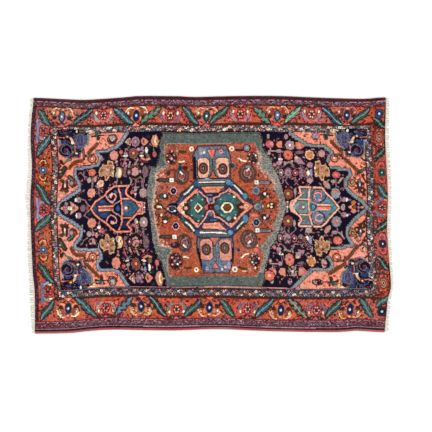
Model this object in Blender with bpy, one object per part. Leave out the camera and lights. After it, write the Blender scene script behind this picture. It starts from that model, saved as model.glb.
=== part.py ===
"""A hand-knotted Persian village rug lying flat: one pile carpet with the slightly wavy outline that
hand weaving gives it, a wool-overcast cord along each long side, and at each end a narrow flat-woven
cotton strip from which the cut warps stand out as a short fringe.

Metres, +Z up. +X runs along the rug's length and +Y across it. The origin is the middle of the
underside, so the rug lies on Z = 0.
"""

import bisect
import math

import bmesh
import bpy
import numpy

MM = 0.001

# Driving dimensions of the rug, in millimetres
HALF_LENGTH = 985.0  # middle of the rug to where the pile stops at an end, on average
HALF_WIDTH = 650.0  # middle of the rug to the outside of a side cord, on average
PILE_THICKNESS = 9.0  # foundation and pile together
GAP = 0.5  # left between neighbouring pieces, of which their straight facets take up to 0.2
CORD_HEIGHT = 7.0
FAR_CORD_WIDTH = 9.0
NEAR_CORD_WIDTH = 13.0  # the near side is overcast in a broader band
CORD_END_GAP = 1.5  # a cord stops this far short of the strip at an end
STRIP_WIDTH = 6.0  # the flat-woven strip beyond the pile
STRIP_HEIGHT = 3.2

# How the top of the pile is built
EDGE_STEPS = (  # from the edge of the pile inwards: how far in, and the share of the full height
    {"inset": 0.0, "height": 0.0},
    {"inset": 0.0, "height": 0.62},
    {"inset": 2.5, "height": 0.92},
    {"inset": 8.0, "height": 1.0},
)
CELLS_ALONG = 48
CELLS_ACROSS = 34
SWELL = 0.7  # how far the pile's top rises and falls where the rug has been walked on
SWELL_LENGTH = 420.0

# The warps left at each end hang in pairs, one pair for each knotted bunch
BUNCHES = 48
STRAND_ROOT_SHARE = 0.36  # of a bunch's width, for each of its two strands
STRAND_TIP_SHARE = 0.20
STRAND_BEND = 3.0  # sideways lean of a strand's tip, at most
TIP_HEIGHT = 1.6

# Outline. "along" is the place along that side, and "out" is how far the rug reaches beyond its
# average half length or half width there.
FAR_SIDE = (
    {"along": -962, "out": -1}, {"along": -829, "out": -7}, {"along": -695, "out": -12},
    {"along": -596, "out": -7}, {"along": -462, "out": 3}, {"along": -396, "out": 9},
    {"along": -163, "out": 8}, {"along": -96, "out": 4}, {"along": 37, "out": 7},
    {"along": 204, "out": 10}, {"along": 404, "out": 9}, {"along": 570, "out": 2},
    {"along": 703, "out": -3}, {"along": 870, "out": -6}, {"along": 970, "out": 2},
)
NEAR_SIDE = (
    {"along": -962, "out": 11}, {"along": -762, "out": 7}, {"along": -695, "out": -1},
    {"along": -562, "out": -11}, {"along": -396, "out": -9}, {"along": -196, "out": -7},
    {"along": 37, "out": -14}, {"along": 237, "out": -7}, {"along": 404, "out": -1},
    {"along": 737, "out": 2}, {"along": 803, "out": -5}, {"along": 970, "out": 3},
)
LEFT_END = (
    {"along": -640, "out": -15, "fringe": 17}, {"along": -540, "out": -16, "fringe": 28},
    {"along": -407, "out": -13, "fringe": 30}, {"along": -340, "out": -5, "fringe": 25},
    {"along": -207, "out": 2, "fringe": 25}, {"along": -41, "out": 8, "fringe": 18},
    {"along": 93, "out": 10, "fringe": 27}, {"along": 259, "out": 1, "fringe": 24},
    {"along": 426, "out": 9, "fringe": 16}, {"along": 559, "out": 1, "fringe": 18},
    {"along": 626, "out": -7, "fringe": 20},
)
RIGHT_END = (
    {"along": -640, "out": -9, "fringe": 20}, {"along": -540, "out": 1, "fringe": 20},
    {"along": -473, "out": 6, "fringe": 21}, {"along": -407, "out": 24, "fringe": 14},
    {"along": -274, "out": 16, "fringe": 17}, {"along": -74, "out": 3, "fringe": 22},
    {"along": 93, "out": 8, "fringe": 20}, {"along": 259, "out": 1, "fringe": 24},
    {"along": 426, "out": -8, "fringe": 23}, {"along": 526, "out": -6, "fringe": 22},
    {"along": 626, "out": -4, "fringe": 20},
)


def clear_objects():
    for thing in list(bpy.data.objects):
        bpy.data.objects.remove(thing, do_unlink=True)


def smooth_value(rows, column, along):
    """The table's column at a place between its rows, on a smooth curve through them."""
    places = [row["along"] for row in rows]
    values = [row[column] for row in rows]
    if along <= places[0]:
        return values[0]
    if along >= places[-1]:
        return values[-1]
    after = bisect.bisect_right(places, along)
    before = after - 1
    step = places[after] - places[before]
    share = (along - places[before]) / step
    lean_in = slope_at(places, values, before) * step
    lean_out = slope_at(places, values, after) * step
    square, cube = share * share, share**3
    return (
        values[before] * (2 * cube - 3 * square + 1)
        + lean_in * (cube - 2 * square + share)
        + values[after] * (3 * square - 2 * cube)
        + lean_out * (cube - square)
    )


def slope_at(places, values, index):
    """The curve's slope at a row: level at the ends, else from its two neighbours."""
    if index in (0, len(places) - 1):
        return 0.0
    return (values[index + 1] - values[index - 1]) / (places[index + 1] - places[index - 1])


def far_y(x):
    return HALF_WIDTH + smooth_value(FAR_SIDE, "out", x)


def near_y(x):
    return -HALF_WIDTH - smooth_value(NEAR_SIDE, "out", x)


def left_x(y):
    return -HALF_LENGTH - smooth_value(LEFT_END, "out", y)


def right_x(y):
    return HALF_LENGTH + smooth_value(RIGHT_END, "out", y)


def pile_point(share_along, share_across):
    """A place in the pile, from its shares of the way from the left end and from the near side."""
    x = (2 * share_along - 1) * HALF_LENGTH
    for _ in range(4):
        low = near_y(x) + NEAR_CORD_WIDTH + GAP
        high = far_y(x) - FAR_CORD_WIDTH - GAP
        y = low + (high - low) * share_across
        x = left_x(y) + (right_x(y) - left_x(y)) * share_along
    return x, y


def swell(x, y):
    """The slow rise and fall of the worn pile, fading out towards the rug's edges."""
    wave = math.sin(x / SWELL_LENGTH * math.tau + 0.8) * math.cos(y / SWELL_LENGTH * math.tau)
    fade = (1 - (x / HALF_LENGTH) ** 4) * (1 - (y / HALF_WIDTH) ** 4)
    return SWELL * wave * max(fade, 0.0)


def make_material(name, colour, roughness):
    material = bpy.data.materials.new(name)
    material.use_nodes = True
    material.diffuse_color = (*colour, 1.0)
    shader = next(n for n in material.node_tree.nodes if n.type == "BSDF_PRINCIPLED")
    shader.inputs["Base Color"].default_value = (*colour, 1.0)
    shader.inputs["Roughness"].default_value = roughness
    shader.inputs["Metallic"].default_value = 0.0
    return material


def add_object(name, mesh_builder, material):
    """Turns the bmesh into an object of that name, with its faces pointing out."""
    bmesh.ops.recalc_face_normals(mesh_builder, faces=mesh_builder.faces)
    mesh = bpy.data.meshes.new(name)
    mesh_builder.to_mesh(mesh)
    mesh_builder.free()
    mesh.materials.append(material)
    thing = bpy.data.objects.new(name, mesh)
    bpy.context.collection.objects.link(thing)
    return thing


def inset_shares(cells, full_length):
    """Shares along one direction: the rounded edge's steps, even cells, and the steps again."""
    steps = [step["inset"] / full_length for step in EDGE_STEPS[1:]]
    inner = steps[-1]
    even = [inner + (1 - 2 * inner) * k / cells for k in range(1, cells)]
    return steps + even + [1 - step for step in reversed(steps)]


def pile_end_x(y, pile_end):
    """Where the straight facets of the pile's end run at this height across the rug."""
    return float(numpy.interp(y, [p[1] for p in pile_end], [p[0] for p in pile_end]))


def height_share(ring):
    """Share of the full height on the ring that is this many steps in from the pile's edge."""
    return EDGE_STEPS[min(ring + 1, len(EDGE_STEPS) - 1)]["height"]


def build_pile(material):
    along = inset_shares(CELLS_ALONG, 2 * HALF_LENGTH)
    across = inset_shares(CELLS_ACROSS, 2 * HALF_WIDTH)
    last_a, last_c = len(along) - 1, len(across) - 1
    builder = bmesh.new()
    top = {}
    for a, share_along in enumerate(along):
        for c, share_across in enumerate(across):
            x, y = pile_point(share_along, share_across)
            ring = min(a, c, last_a - a, last_c - c)
            height = PILE_THICKNESS * height_share(ring) + (swell(x, y) if ring > 1 else 0.0)
            top[a, c] = builder.verts.new((x * MM, y * MM, height * MM))
    for a in range(last_a):
        for c in range(last_c):
            builder.faces.new((top[a, c], top[a + 1, c], top[a + 1, c + 1], top[a, c + 1]))
    rim = [(a, 0) for a in range(last_a)] + [(last_a, c) for c in range(last_c)]
    rim += [(a, last_c) for a in range(last_a, 0, -1)] + [(0, c) for c in range(last_c, 0, -1)]
    under = [builder.verts.new((top[key].co.x, top[key].co.y, 0.0)) for key in rim]
    for k, key in enumerate(rim):
        following = (k + 1) % len(rim)
        builder.faces.new((top[key], under[k], under[following], top[rim[following]]))
    builder.faces.new(list(reversed(under)))
    return add_object("pile_carpet", builder, material)


def build_cord(name, side, width, material):
    """An overcast side: a flattened round cord that follows the pile's far (1) or near (-1) rim."""
    sides = 8
    reach = 1 / math.cos(math.pi / sides)
    share_across = 1.0 if side > 0 else 0.0
    route = [pile_point(share, share_across) for share in inset_shares(CELLS_ALONG, 2 * HALF_LENGTH)]
    route[0] = (route[0][0] + CORD_END_GAP, route[0][1])
    route[-1] = (route[-1][0] - CORD_END_GAP, route[-1][1])
    builder = bmesh.new()
    rings = []
    for x, rim_y in route:
        ring = []
        for k in range(sides):
            turn = (k + 0.5) / sides * math.tau
            y = rim_y + side * (GAP + width / 2) + math.cos(turn) * reach * width / 2
            z = (1 + math.sin(turn) * reach) * CORD_HEIGHT / 2
            ring.append(builder.verts.new((x * MM, y * MM, z * MM)))
        rings.append(ring)
    for before, after in zip(rings, rings[1:]):
        for k in range(sides):
            following = (k + 1) % sides
            builder.faces.new((before[k], before[following], after[following], after[k]))
    builder.faces.new(rings[0])
    builder.faces.new(list(reversed(rings[-1])))
    return add_object(name, builder, material)


def strand_lean(index):
    """A sideways lean from -1 to 1 that differs from strand to strand but is the same each time."""
    return math.sin(index * 2.4 + 0.7) * math.cos(index * 0.83)


def build_fringe(name, rows, outward, material):
    """The flat-woven strip beyond one end of the pile, with the cut warps standing out of it."""
    builder = bmesh.new()
    share_along = 0.0 if outward < 0 else 1.0
    pile_end = [pile_point(share_along, share) for share in inset_shares(CELLS_ACROSS, 2 * HALF_WIDTH)]
    low, high = near_y(outward * HALF_LENGTH), far_y(outward * HALF_LENGTH)
    bunch = (high - low) / BUNCHES
    stations = [low]
    for b in range(BUNCHES):
        for side in (0.27, 0.73):
            middle = low + (b + side) * bunch
            stations.append(middle - STRAND_ROOT_SHARE * bunch / 2)
            stations.append(middle + STRAND_ROOT_SHARE * bunch / 2)
    stations.append(high)

    def at(y, reach, height):
        x = pile_end_x(y, pile_end) + outward * (GAP + reach)
        return builder.verts.new((x * MM, y * MM, height * MM))

    rails = []
    for y in stations:
        rails.append(
            {
                "inner_low": at(y, 0.0, 0.0),
                "inner_high": at(y, 0.0, STRIP_HEIGHT),
                "outer_high": at(y, STRIP_WIDTH, STRIP_HEIGHT),
                "outer_low": at(y, STRIP_WIDTH, 0.0),
            }
        )
    around = ("inner_low", "inner_high", "outer_high", "outer_low")
    for k, (before, after) in enumerate(zip(rails, rails[1:])):
        is_root = k % 2 == 1
        for one, two in zip(around, around[1:] + around[:1]):
            if is_root and one == "outer_high":
                continue
            builder.faces.new((before[one], before[two], after[two], after[one]))
        if is_root:
            add_strand(builder, before, after, stations[k : k + 2], k, bunch, at, rows)
    builder.faces.new([rails[0][corner] for corner in around])
    builder.faces.new([rails[-1][corner] for corner in reversed(around)])
    return add_object(name, builder, material)


def add_strand(builder, before, after, span, index, bunch, at, rows):
    """One four-sided bundle of warps, from its root in the strip to its cut tip."""
    middle = sum(span) / 2
    full = max(smooth_value(rows, "fringe", middle), STRIP_WIDTH + 6.0)
    length = full - STRIP_WIDTH - 2.5 * (1 + strand_lean(index + 5))
    ring = [before["outer_high"], before["outer_low"], after["outer_low"], after["outer_high"]]
    for share in (0.5, 1.0):
        half = bunch * (STRAND_ROOT_SHARE + (STRAND_TIP_SHARE - STRAND_ROOT_SHARE) * share) / 2
        centre = middle + strand_lean(index) * STRAND_BEND * share * share
        height = STRIP_HEIGHT + (TIP_HEIGHT - STRIP_HEIGHT) * share
        reach = STRIP_WIDTH + length * share
        following = [
            at(centre - half, reach, height),
            at(centre - half, reach, 0.0),
            at(centre + half, reach, 0.0),
            at(centre + half, reach, height),
        ]
        for k in range(4):
            nxt = (k + 1) % 4
            builder.faces.new((ring[k], ring[nxt], following[nxt], following[k]))
        ring = following
    builder.faces.new(ring)


def main():
    clear_objects()
    wool = make_material("wool_pile", (0.36, 0.11, 0.08), 0.9)
    side_wool = make_material("side_wool", (0.26, 0.03, 0.03), 0.85)
    cotton = make_material("warp_cotton", (0.74, 0.69, 0.58), 0.9)
    build_pile(wool)
    build_cord("side_cord_far", 1, FAR_CORD_WIDTH, side_wool)
    build_cord("side_cord_near", -1, NEAR_CORD_WIDTH, side_wool)
    build_fringe("fringe_left", LEFT_END, -1, cotton)
    build_fringe("fringe_right", RIGHT_END, 1, cotton)


main()
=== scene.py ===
import math

import bpy
import numpy as np
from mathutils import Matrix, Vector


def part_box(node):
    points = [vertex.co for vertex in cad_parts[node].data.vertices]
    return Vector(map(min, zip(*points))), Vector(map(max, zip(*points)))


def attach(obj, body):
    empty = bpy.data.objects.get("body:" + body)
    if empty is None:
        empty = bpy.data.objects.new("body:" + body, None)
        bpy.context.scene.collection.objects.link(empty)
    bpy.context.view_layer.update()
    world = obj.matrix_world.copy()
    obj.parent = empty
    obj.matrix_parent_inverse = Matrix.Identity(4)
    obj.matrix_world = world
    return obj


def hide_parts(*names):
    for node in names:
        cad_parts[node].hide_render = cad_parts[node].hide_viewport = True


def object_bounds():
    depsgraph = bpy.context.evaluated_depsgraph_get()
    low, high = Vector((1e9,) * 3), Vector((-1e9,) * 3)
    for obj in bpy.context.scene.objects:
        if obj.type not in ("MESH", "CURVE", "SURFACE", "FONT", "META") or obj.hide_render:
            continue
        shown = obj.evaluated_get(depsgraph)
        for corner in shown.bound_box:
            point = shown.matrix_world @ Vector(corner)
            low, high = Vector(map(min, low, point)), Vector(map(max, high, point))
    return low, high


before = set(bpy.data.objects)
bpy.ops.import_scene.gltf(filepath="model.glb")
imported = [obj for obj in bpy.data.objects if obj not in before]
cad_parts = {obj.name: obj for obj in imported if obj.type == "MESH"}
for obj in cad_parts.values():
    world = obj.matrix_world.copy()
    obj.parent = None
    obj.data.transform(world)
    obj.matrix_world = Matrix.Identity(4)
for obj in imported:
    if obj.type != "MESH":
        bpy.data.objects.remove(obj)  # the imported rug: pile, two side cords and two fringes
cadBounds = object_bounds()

mm = 0.001

# the weaver's chart: one square for each knot, laid out in millimetres from the rug's middle
chartPlan = {
    "halfLength": 985.0,
    "halfWidth": 638.5,
    "knotsAlong": 600,
    "knotsAcross": 390,
}

# the dye pots, in screen values from 0 to 255
dyeColours = {
    # the first red is the far selvedge's red wool, painted dark as in shade
    "selvedgeRedPaintedShade": (84, 18, 22), "halo": (40, 18, 26), "ember": (178, 82, 54),
    "emberPale": (200, 100, 66), "bandPale": (154, 150, 136), "brickDeep": (172, 66, 46),
    "bushBlue": (50, 62, 112), "tan": (178, 128, 88), "tanPale": (196, 160, 124),
    "khakiDark": (70, 56, 34), "inkGreen": (26, 32, 38), "bay": (196, 92, 52),
    "edgeBlue": (116, 136, 152), "petal": (208, 132, 112), "petalDeep": (202, 104, 84),
    "petalPink": (190, 138, 134), "stem": (138, 102, 110), "dusk": (112, 86, 92),
    "greySage": (126, 134, 132), "greySky": (132, 148, 158), "mintDull": (104, 142, 122),
    "plumMist": (128, 90, 94), "bandTeal": (84, 94, 88), "bandGrey": (102, 104, 94),
    "blueHeart": (46, 88, 122), "blueClear": (86, 132, 166), "tealDusk": (84, 108, 108),
    "tealPale": (114, 134, 130), "rust": (150, 72, 38), "sienna": (196, 112, 66),
    # the dark edge dye below is a dark pile row, with the painted shade of the groove beside the near cord
    # mixed in
    "brickPale": (204, 98, 80), "darkEdgeAndGrooveShade": (46, 18, 20), "plum": (104, 62, 74), "plumDark": (60, 32, 46),
    "plumPale": (184, 146, 154), "brick": (194, 84, 60), "brickDull": (190, 96, 72), "red": (158, 46, 40),
    "maroon": (74, 20, 28), "wine": (112, 34, 44), "salmon": (234, 142, 116),
    "salmonDeep": (222, 122, 94), "salmonPale": (234, 174, 146), "pink": (222, 152, 150),
    "rose": (196, 92, 98), "coral": (222, 104, 80), "orange": (222, 122, 60), "navy": (16, 14, 36),
    "navyBlack": (14, 12, 24), "ink": (26, 32, 66), "blue": (42, 74, 122), "blueDeep": (32, 52, 96),
    "sky": (142, 156, 178), "steel": (96, 116, 140), "tealBlue": (76, 130, 150), "teal": (62, 102, 106),
    "tealGreen": (44, 84, 80), "green": (60, 90, 68), "greenDark": (30, 48, 44), "mint": (152, 180, 156),
    "sage": (112, 124, 106), "lilac": (142, 134, 168), "lilacPink": (168, 124, 140),
    "mauve": (122, 92, 110), "greyBeige": (164, 142, 134), "cream": (240, 224, 190),
    "white": (238, 230, 220), "gold": (222, 178, 112), "ochre": (186, 128, 62), "brown": (116, 62, 34),
    "umber": (66, 38, 30), "khaki": (106, 92, 58), "grey": (130, 128, 134),
}
dyeNumber = {name: k for k, name in enumerate(dyeColours)}

chart = np.full((chartPlan["knotsAcross"], chartPlan["knotsAlong"]), dyeNumber["darkEdgeAndGrooveShade"])


def knotCentres(half, count):
    return (np.arange(count) + 0.5) * 2 * half / count - half


knotX = knotCentres(chartPlan["halfLength"], chartPlan["knotsAlong"])
knotY = knotCentres(chartPlan["halfWidth"], chartPlan["knotsAcross"])


def chartPatch(xLow, xHigh, yLow, yHigh):  # the knots in a rectangle, with the places of their centres
    cols = slice(*np.searchsorted(knotX, (xLow, xHigh)))
    rows = slice(*np.searchsorted(knotY, (yLow, yHigh)))
    places = np.meshgrid(knotX[cols], knotY[rows])
    return chart[rows, cols], places[0], places[1]


def isDyed(knots, dyes):
    return np.isin(knots, [dyeNumber[dye] for dye in dyes])


def dab(dye, x, y, rx, ry=None, turn=0.0, onto=None):  # an oval of one dye, over every dye or only over some
    ry = ry or rx
    reach = max(rx, ry) + 4
    knots, px, py = chartPatch(x - reach, x + reach, y - reach, y + reach)
    c, s = math.cos(math.radians(turn)), math.sin(math.radians(turn))
    u, v = (px - x) * c + (py - y) * s, (py - y) * c - (px - x) * s
    within = (u / rx) ** 2 + (v / ry) ** 2 < 1
    if onto:
        within &= isDyed(knots, onto)
    knots[within] = dyeNumber[dye]


def around(points, margin):
    xs, ys = [p[0] for p in points], [p[1] for p in points]
    return min(xs) - margin, max(xs) + margin, min(ys) - margin, max(ys) + margin


def fill(dye, points):  # a closed shape with straight sides
    knots, px, py = chartPatch(*around(points, 4))
    within = np.zeros(px.shape, bool)
    for (x1, y1), (x2, y2) in zip(points, points[1:] + points[:1]):
        if y1 != y2:
            within ^= ((y1 > py) != (y2 > py)) & (px < (x2 - x1) * (py - y1) / (y2 - y1) + x1)
    knots[within] = dyeNumber[dye]


def line(dye, width, points, closed=False):
    knots, px, py = chartPatch(*around(points, width + 4))
    nearest = np.full(px.shape, 1e9)
    follow = points[1:] + (points[:1] if closed else [])
    for (x1, y1), (x2, y2) in zip(points, follow):
        length = max((x2 - x1) ** 2 + (y2 - y1) ** 2, 1e-6)
        share = np.clip(((px - x1) * (x2 - x1) + (py - y1) * (y2 - y1)) / length, 0, 1)
        nearest = np.minimum(nearest, np.hypot(px - x1 - share * (x2 - x1), py - y1 - share * (y2 - y1)))
    knots[nearest < width / 2] = dyeNumber[dye]


def spiral(dye, width, x, y, radius, start, sweep, shrink):
    points = []
    for k in range(21):
        angle = math.radians(start + sweep * k / 20)
        reach = radius * (1 - shrink * (k / 20))
        points.append((x + reach * math.cos(angle), y + reach * math.sin(angle)))
    line(dye, width, points)


def rosette(x, y, radius, rings, petals=0, squash=1.0):  # rings run inwards: a dye, its share of the radius
    reach = radius * 1.25
    knots, px, py = chartPatch(x - reach, x + reach, y - reach * squash, y + reach * squash)
    u, v = px - x, (py - y) / squash
    lobes = 1 + 0.06 * np.cos(petals * np.arctan2(v, u)) if petals else 1.0
    away = np.hypot(u, v) / lobes
    for dye, share in rings:
        knots[away < radius * share] = dyeNumber[dye]


roses = {  # kinds of rose: the dyes within its own, and their shares of its radius
    "plain": [("salmonDeep", 0.3)],
    "mauved": [("mauve", 0.74), ("lilacPink", 0.36)],
    "browned": [("brown", 0.84), ("rust", 0.6), ("umber", 0.46), ("salmon", 0.3)],
    "eyed": [("lilacPink", 0.62), ("white", 0.25)],
    "reddened": [("salmonDeep", 0.62), ("red", 0.32)],
    "golden": [("sienna", 0.72), ("ochre", 0.4)],
    "ringed": [("maroon", 0.72), ("rose", 0.46), ("white", 0.26)],
    "blank": [],
}
leafPlan = {"width": 38, "rib": 6, "lobes": 4, "notch": 0.38, "bend": 4.0, "outline": 6.5}


def leaf(start, end, body, other, rib):  # a long toothed leaf from stem to tip, with a pale bent rib
    length = math.dist(start, end)
    knots, px, py = chartPatch(*around([start, end], leafPlan["width"]))
    ux, uy = (end[0] - start[0]) / length, (end[1] - start[1]) / length
    u = ((px - start[0]) * ux + (py - start[1]) * uy) / length
    v = (py - start[1]) * ux - (px - start[0]) * uy - leafPlan["bend"] * np.sin(u * math.tau)
    shape = np.clip(np.sin(np.clip(u, 0, 1) * math.pi), 0, 1) ** 0.55
    step = (u * leafPlan["lobes"] + np.where(v > 0, 0.1, 0.6)) % 1.0
    half = leafPlan["width"] / 2 * shape * (1 - leafPlan["notch"] * step)
    on, off = (u > -0.04) & (u < 1.04), np.abs(v)
    knots[on & (off < half + leafPlan["outline"])] = dyeNumber["inkGreen"]
    knots[on & (off < half)] = dyeNumber[body]
    knots[on & (off < half) & (step > 0.55)] = dyeNumber[other]
    knots[on & (off < half - 3) & (step > 0.84)] = dyeNumber["greenDark"]
    knots[(u > 0.02) & (u < 0.98) & (off < leafPlan["rib"] / 2)] = dyeNumber[rib]


def path(text):  # places written as x,y
    return [tuple(float(number) for number in spot.split(",")) for spot in text.split()]


def layStroke(kind, passes, points, wide, tall, turn):
    if kind == "leaf":
        leaf(*points, *[dye for dye, *_ in passes])
        return
    if kind == "ring":
        line("maroon", passes[0][1] + 6, points, True)
    for k, (dye, *sizes) in enumerate(passes):
        if kind == "fill":
            fill(dye, points)
        elif kind in ("line", "ring"):
            line(dye, sizes[0] * wide, points, kind == "ring")
        else:
            rx, ry, *lean = sizes if k else sizes[2:]
            rx, ry = rx * wide, ry * tall
            if kind == "dab":
                dab(dye, *points[0], rx, ry, turn + sum(lean))
            else:
                dab("halo", *points[0], rx + 6, ry + 6)
                rosette(*points[0], rx, [(dye, 1.0), *roses[kind]], 8, ry / rx)


# The design is written as strokes: "dab DYE x,y rx,ry TURN", an oval; "line DYE WIDTH x,y x,y ..."; "ring",
# a closed line with a dark edge; "fill DYE x,y x,y ...", a shape; "leaf BODY OTHER RIB x,y x,y"; or a kind
# of rose in place of dab. A stroke with no kind is of the last one's kind. A dab or a line may be gone over
# again with further dyes and sizes at the same place, and "both" before a stroke adds its mirror image.
# Roles are words that each use of the strokes gives a dye.
def draw(strokes, at=(0, 0), scale=(1, 1), turn=0.0, **roles):
    c, s = math.cos(math.radians(turn)), math.sin(math.radians(turn))
    kind = "dab"
    for stroke in strokes.split(";"):
        words = stroke.replace(",", " ").split()
        mirrored = words[0] == "both"
        if mirrored:
            del words[0]
        if words[0] in ("dab", "line", "ring", "fill", "leaf", *roses):
            kind = words.pop(0)
        passes = []  # a dye with the numbers that follow it
        for word in words:
            if word[0].isalpha():
                passes.append([roles.get(word, word)])
            else:
                passes[-1].append(float(word))
        places = passes[0][1:3]
        if kind in ("line", "ring", "fill", "leaf"):
            places = passes[-1][2 if kind in ("line", "ring") else 1:]
        for side in (1, -1) if mirrored else (1,):
            points = []
            for x, y in zip(places[::2], places[1::2]):
                x, y = x * side * scale[0], y * scale[1]
                points.append((at[0] + x * c - y * s, at[1] + x * s + y * c))
            layStroke(kind, passes, points, abs(scale[0]), abs(scale[1]), turn)


def stripedBar(points, width=16.0, pitch=12):  # the ribbed bars in the corners
    line("brown", width + 5, points)
    half = width / 2 - 5
    for (x1, y1), (x2, y2) in zip(points, points[1:]):
        length = math.dist((x1, y1), (x2, y2))
        ux, uy = (x2 - x1) / length, (y2 - y1) / length
        for k in range(int(length / pitch)):
            x, y = x1 + ux * pitch * (k + 0.5), y1 + uy * pitch * (k + 0.5)
            line("maroon", 3.5, [(x - uy * half, y + ux * half), (x + uy * half, y - ux * half)])


def speckle(dyes, xLow, xHigh, yLow, yHigh, share, seed, onto=None):  # stray knots, in pairs, of other dyes
    random = np.random.default_rng(seed)
    knots = chartPatch(xLow, xHigh, yLow, yHigh)[0]
    rows, cols = knots.shape
    pairs = random.uniform(size=(rows, cols // 2 + 1)).repeat(2, 1)[:, :cols] < share
    chosen = random.integers(0, len(dyes), (rows, cols // 2 + 1)).repeat(2, 1)[:, :cols]
    if onto:
        pairs &= isDyed(knots, onto)
    knots[pairs] = np.array([dyeNumber[dye] for dye in dyes])[chosen[pairs]]


def crumbs(dyes, xLow, xHigh, yLow, yHigh, count, seed, onto):  # small stray marks that fill out a ground
    random = np.random.default_rng(seed)
    for _ in range(count):
        x, y = random.uniform(xLow, xHigh), random.uniform(yLow, yHigh)
        turn = random.choice([-45, 0, 45, 90])
        dab(random.choice(dyes), x, y, random.uniform(5, 10), random.uniform(2.6, 4.5), turn, onto)


def stepped(points, rise=10.0):  # the same path in small steps, as a slant is knotted
    steps = [points[0]]
    for (x1, y1), (x2, y2) in zip(points, points[1:]):
        count = max(1, round(abs(y2 - y1) / rise))
        for k in range(1, count + 1):
            y = y1 + (y2 - y1) * k / count
            steps += [(steps[-1][0], y), (x1 + (x2 - x1) * k / count, y)]
    return steps


def blend(points, reach, dyes, onto, count, seed):  # stray knots scattered about an edge
    random = np.random.default_rng(seed)
    for _ in range(count):
        k = int(random.integers(len(points) - 1))
        share = random.uniform()
        x = points[k][0] + (points[k + 1][0] - points[k][0]) * share + random.normal(0, reach)
        y = points[k][1] + (points[k + 1][1] - points[k][1]) * share + random.normal(0, reach * 0.7)
        dab(random.choice(dyes), x, y, random.uniform(2.5, 6), random.uniform(1.8, 3.5), 0, onto)


def edgeKnots(ground, dye, share, seed):  # darken the knots of a ground that lie beside another dye
    random = np.random.default_rng(seed)
    same = chart == dyeNumber[ground]
    beside = np.zeros_like(same)
    for step, axis in ((1, 0), (-1, 0), (1, 1), (-1, 1)):
        beside |= ~np.roll(same, step, axis)
    chart[same & beside & (random.uniform(size=chart.shape) < share)] = dyeNumber[dye]


# the guards and the main border's ground, their long lines bent as the weave is
bows = {  # how far those lines bend away from straight
    "far": {"ends": 15.0, "reach": 900.0},
    "near": {"sag": -9.0, "middle": 110.0, "reach": 330.0},
}


def bowAt(x, y):  # the bend of the inner lines, fading out towards the rug's sides
    far = bows["far"]["ends"] * (x / bows["far"]["reach"]) ** 2
    near = bows["near"]["sag"] * np.exp(-(((x - bows["near"]["middle"]) / bows["near"]["reach"]) ** 2))
    return np.where(y > 0, far * np.clip((620 - y) / 130, 0.2, 1), near * np.clip((650 + y) / 150, 0.3, 1))


def longBand(dye, xLow, xHigh, yLow, yHigh):  # a band along the rug, its edges bent as the weave is
    knots, px, py = chartPatch(xLow, xHigh, min(yLow, yHigh) - 20, max(yLow, yHigh) + 20)
    knots[(py > yLow + bowAt(px, yLow)) & (py < yHigh + bowAt(px, yHigh))] = dyeNumber[dye]


bands = [  # dye, from and to along the rug, from and to across it; later ones lie on earlier ones
    # the far edge row: the selvedge's red, painted dark as in shade
    ("selvedgeRedPaintedShade", -985, 985, 634, 639),
    ("plumDark", -985, 985, 628, 634),
    ("plum", -985, 985, 600, 628),
    ("plumPale", -985, 985, 622, 625),
    ("umber", -985, 985, 590, 600),
    # the near edge row: dark pile knots, darkened further by painted shade of the groove beside the near cord
    ("darkEdgeAndGrooveShade", -985, 985, -639, -630),
    ("lilacPink", -985, 985, -630, -625),
    ("plumDark", -985, 985, -625, -621),
    ("plum", -985, 985, -621, -590),
    ("lilacPink", -985, 985, -593, -590),
    ("wine", -985, 985, -590, -583),
    ("plumDark", -985, -962, -583, 592),
    ("brick", -962, 980, -583, 592),
    ("umber", -962, 980, 485, 499),
    ("umber", -962, 980, -469, -458),
    ("maroon", -874, 907, -458, 488),
    ("dusk", -868, 903, -453, 483),
    ("maroon", -842, 876, -422, 456),
    ("dusk", -839, 872, 447, 452),
]
for row in bands:
    longBand(*row)

outerGuard = {"pitch": 38.0, "lean": 6.0, "tall": 21.0, "width": 8.0}


def weaveOuterGuard(yMiddle, tall, pale):  # short dashes, leaning in turn one way and the other
    count = int(2 * chartPlan["halfLength"] / outerGuard["pitch"])
    for k in range(count):
        x = -chartPlan["halfLength"] + (k + 0.5) * outerGuard["pitch"]
        y = yMiddle + float(bowAt(x, yMiddle))
        lean = outerGuard["lean"] * (1 if k % 2 else -1)
        half = tall / 2
        line("plumDark", outerGuard["width"] + 7, [(x - lean, y - half + 3), (x + lean, y + half - 3)])
        line(pale, outerGuard["width"], [(x - lean, y - half + 5), (x + lean, y + half - 5)])
        dab(("wine", "maroon", "mauve")[k % 3], x + outerGuard["pitch"] / 2, y + 4, 7, 5)


weaveOuterGuard(613, outerGuard["tall"], "plumMist")
weaveOuterGuard(-606, outerGuard["tall"] + 3, "plumMist")
for low, high, seed in [(602, 626, 21), (-620, -594, 22)]:
    speckle(["plumDark", "plumMist", "dusk", "maroon", "plumPale"], -980, 980, low, high, 0.3, seed)
    speckle(["maroon", "wine"], -985, -800, low, high, 0.4, seed + 2)
    speckle(["maroon", "wine"], 800, 985, low, high, 0.4, seed + 4)

innerGuard = {
    "pitch": 62.0,
    "flowers": ["pink", "cream", "greyBeige", "white", "lilac", "salmonPale", "sky"],
    "leaves": ["green", "teal", "sage", "tealGreen", "steel", "greenDark"],
    "swing": 6.0,
}


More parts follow.
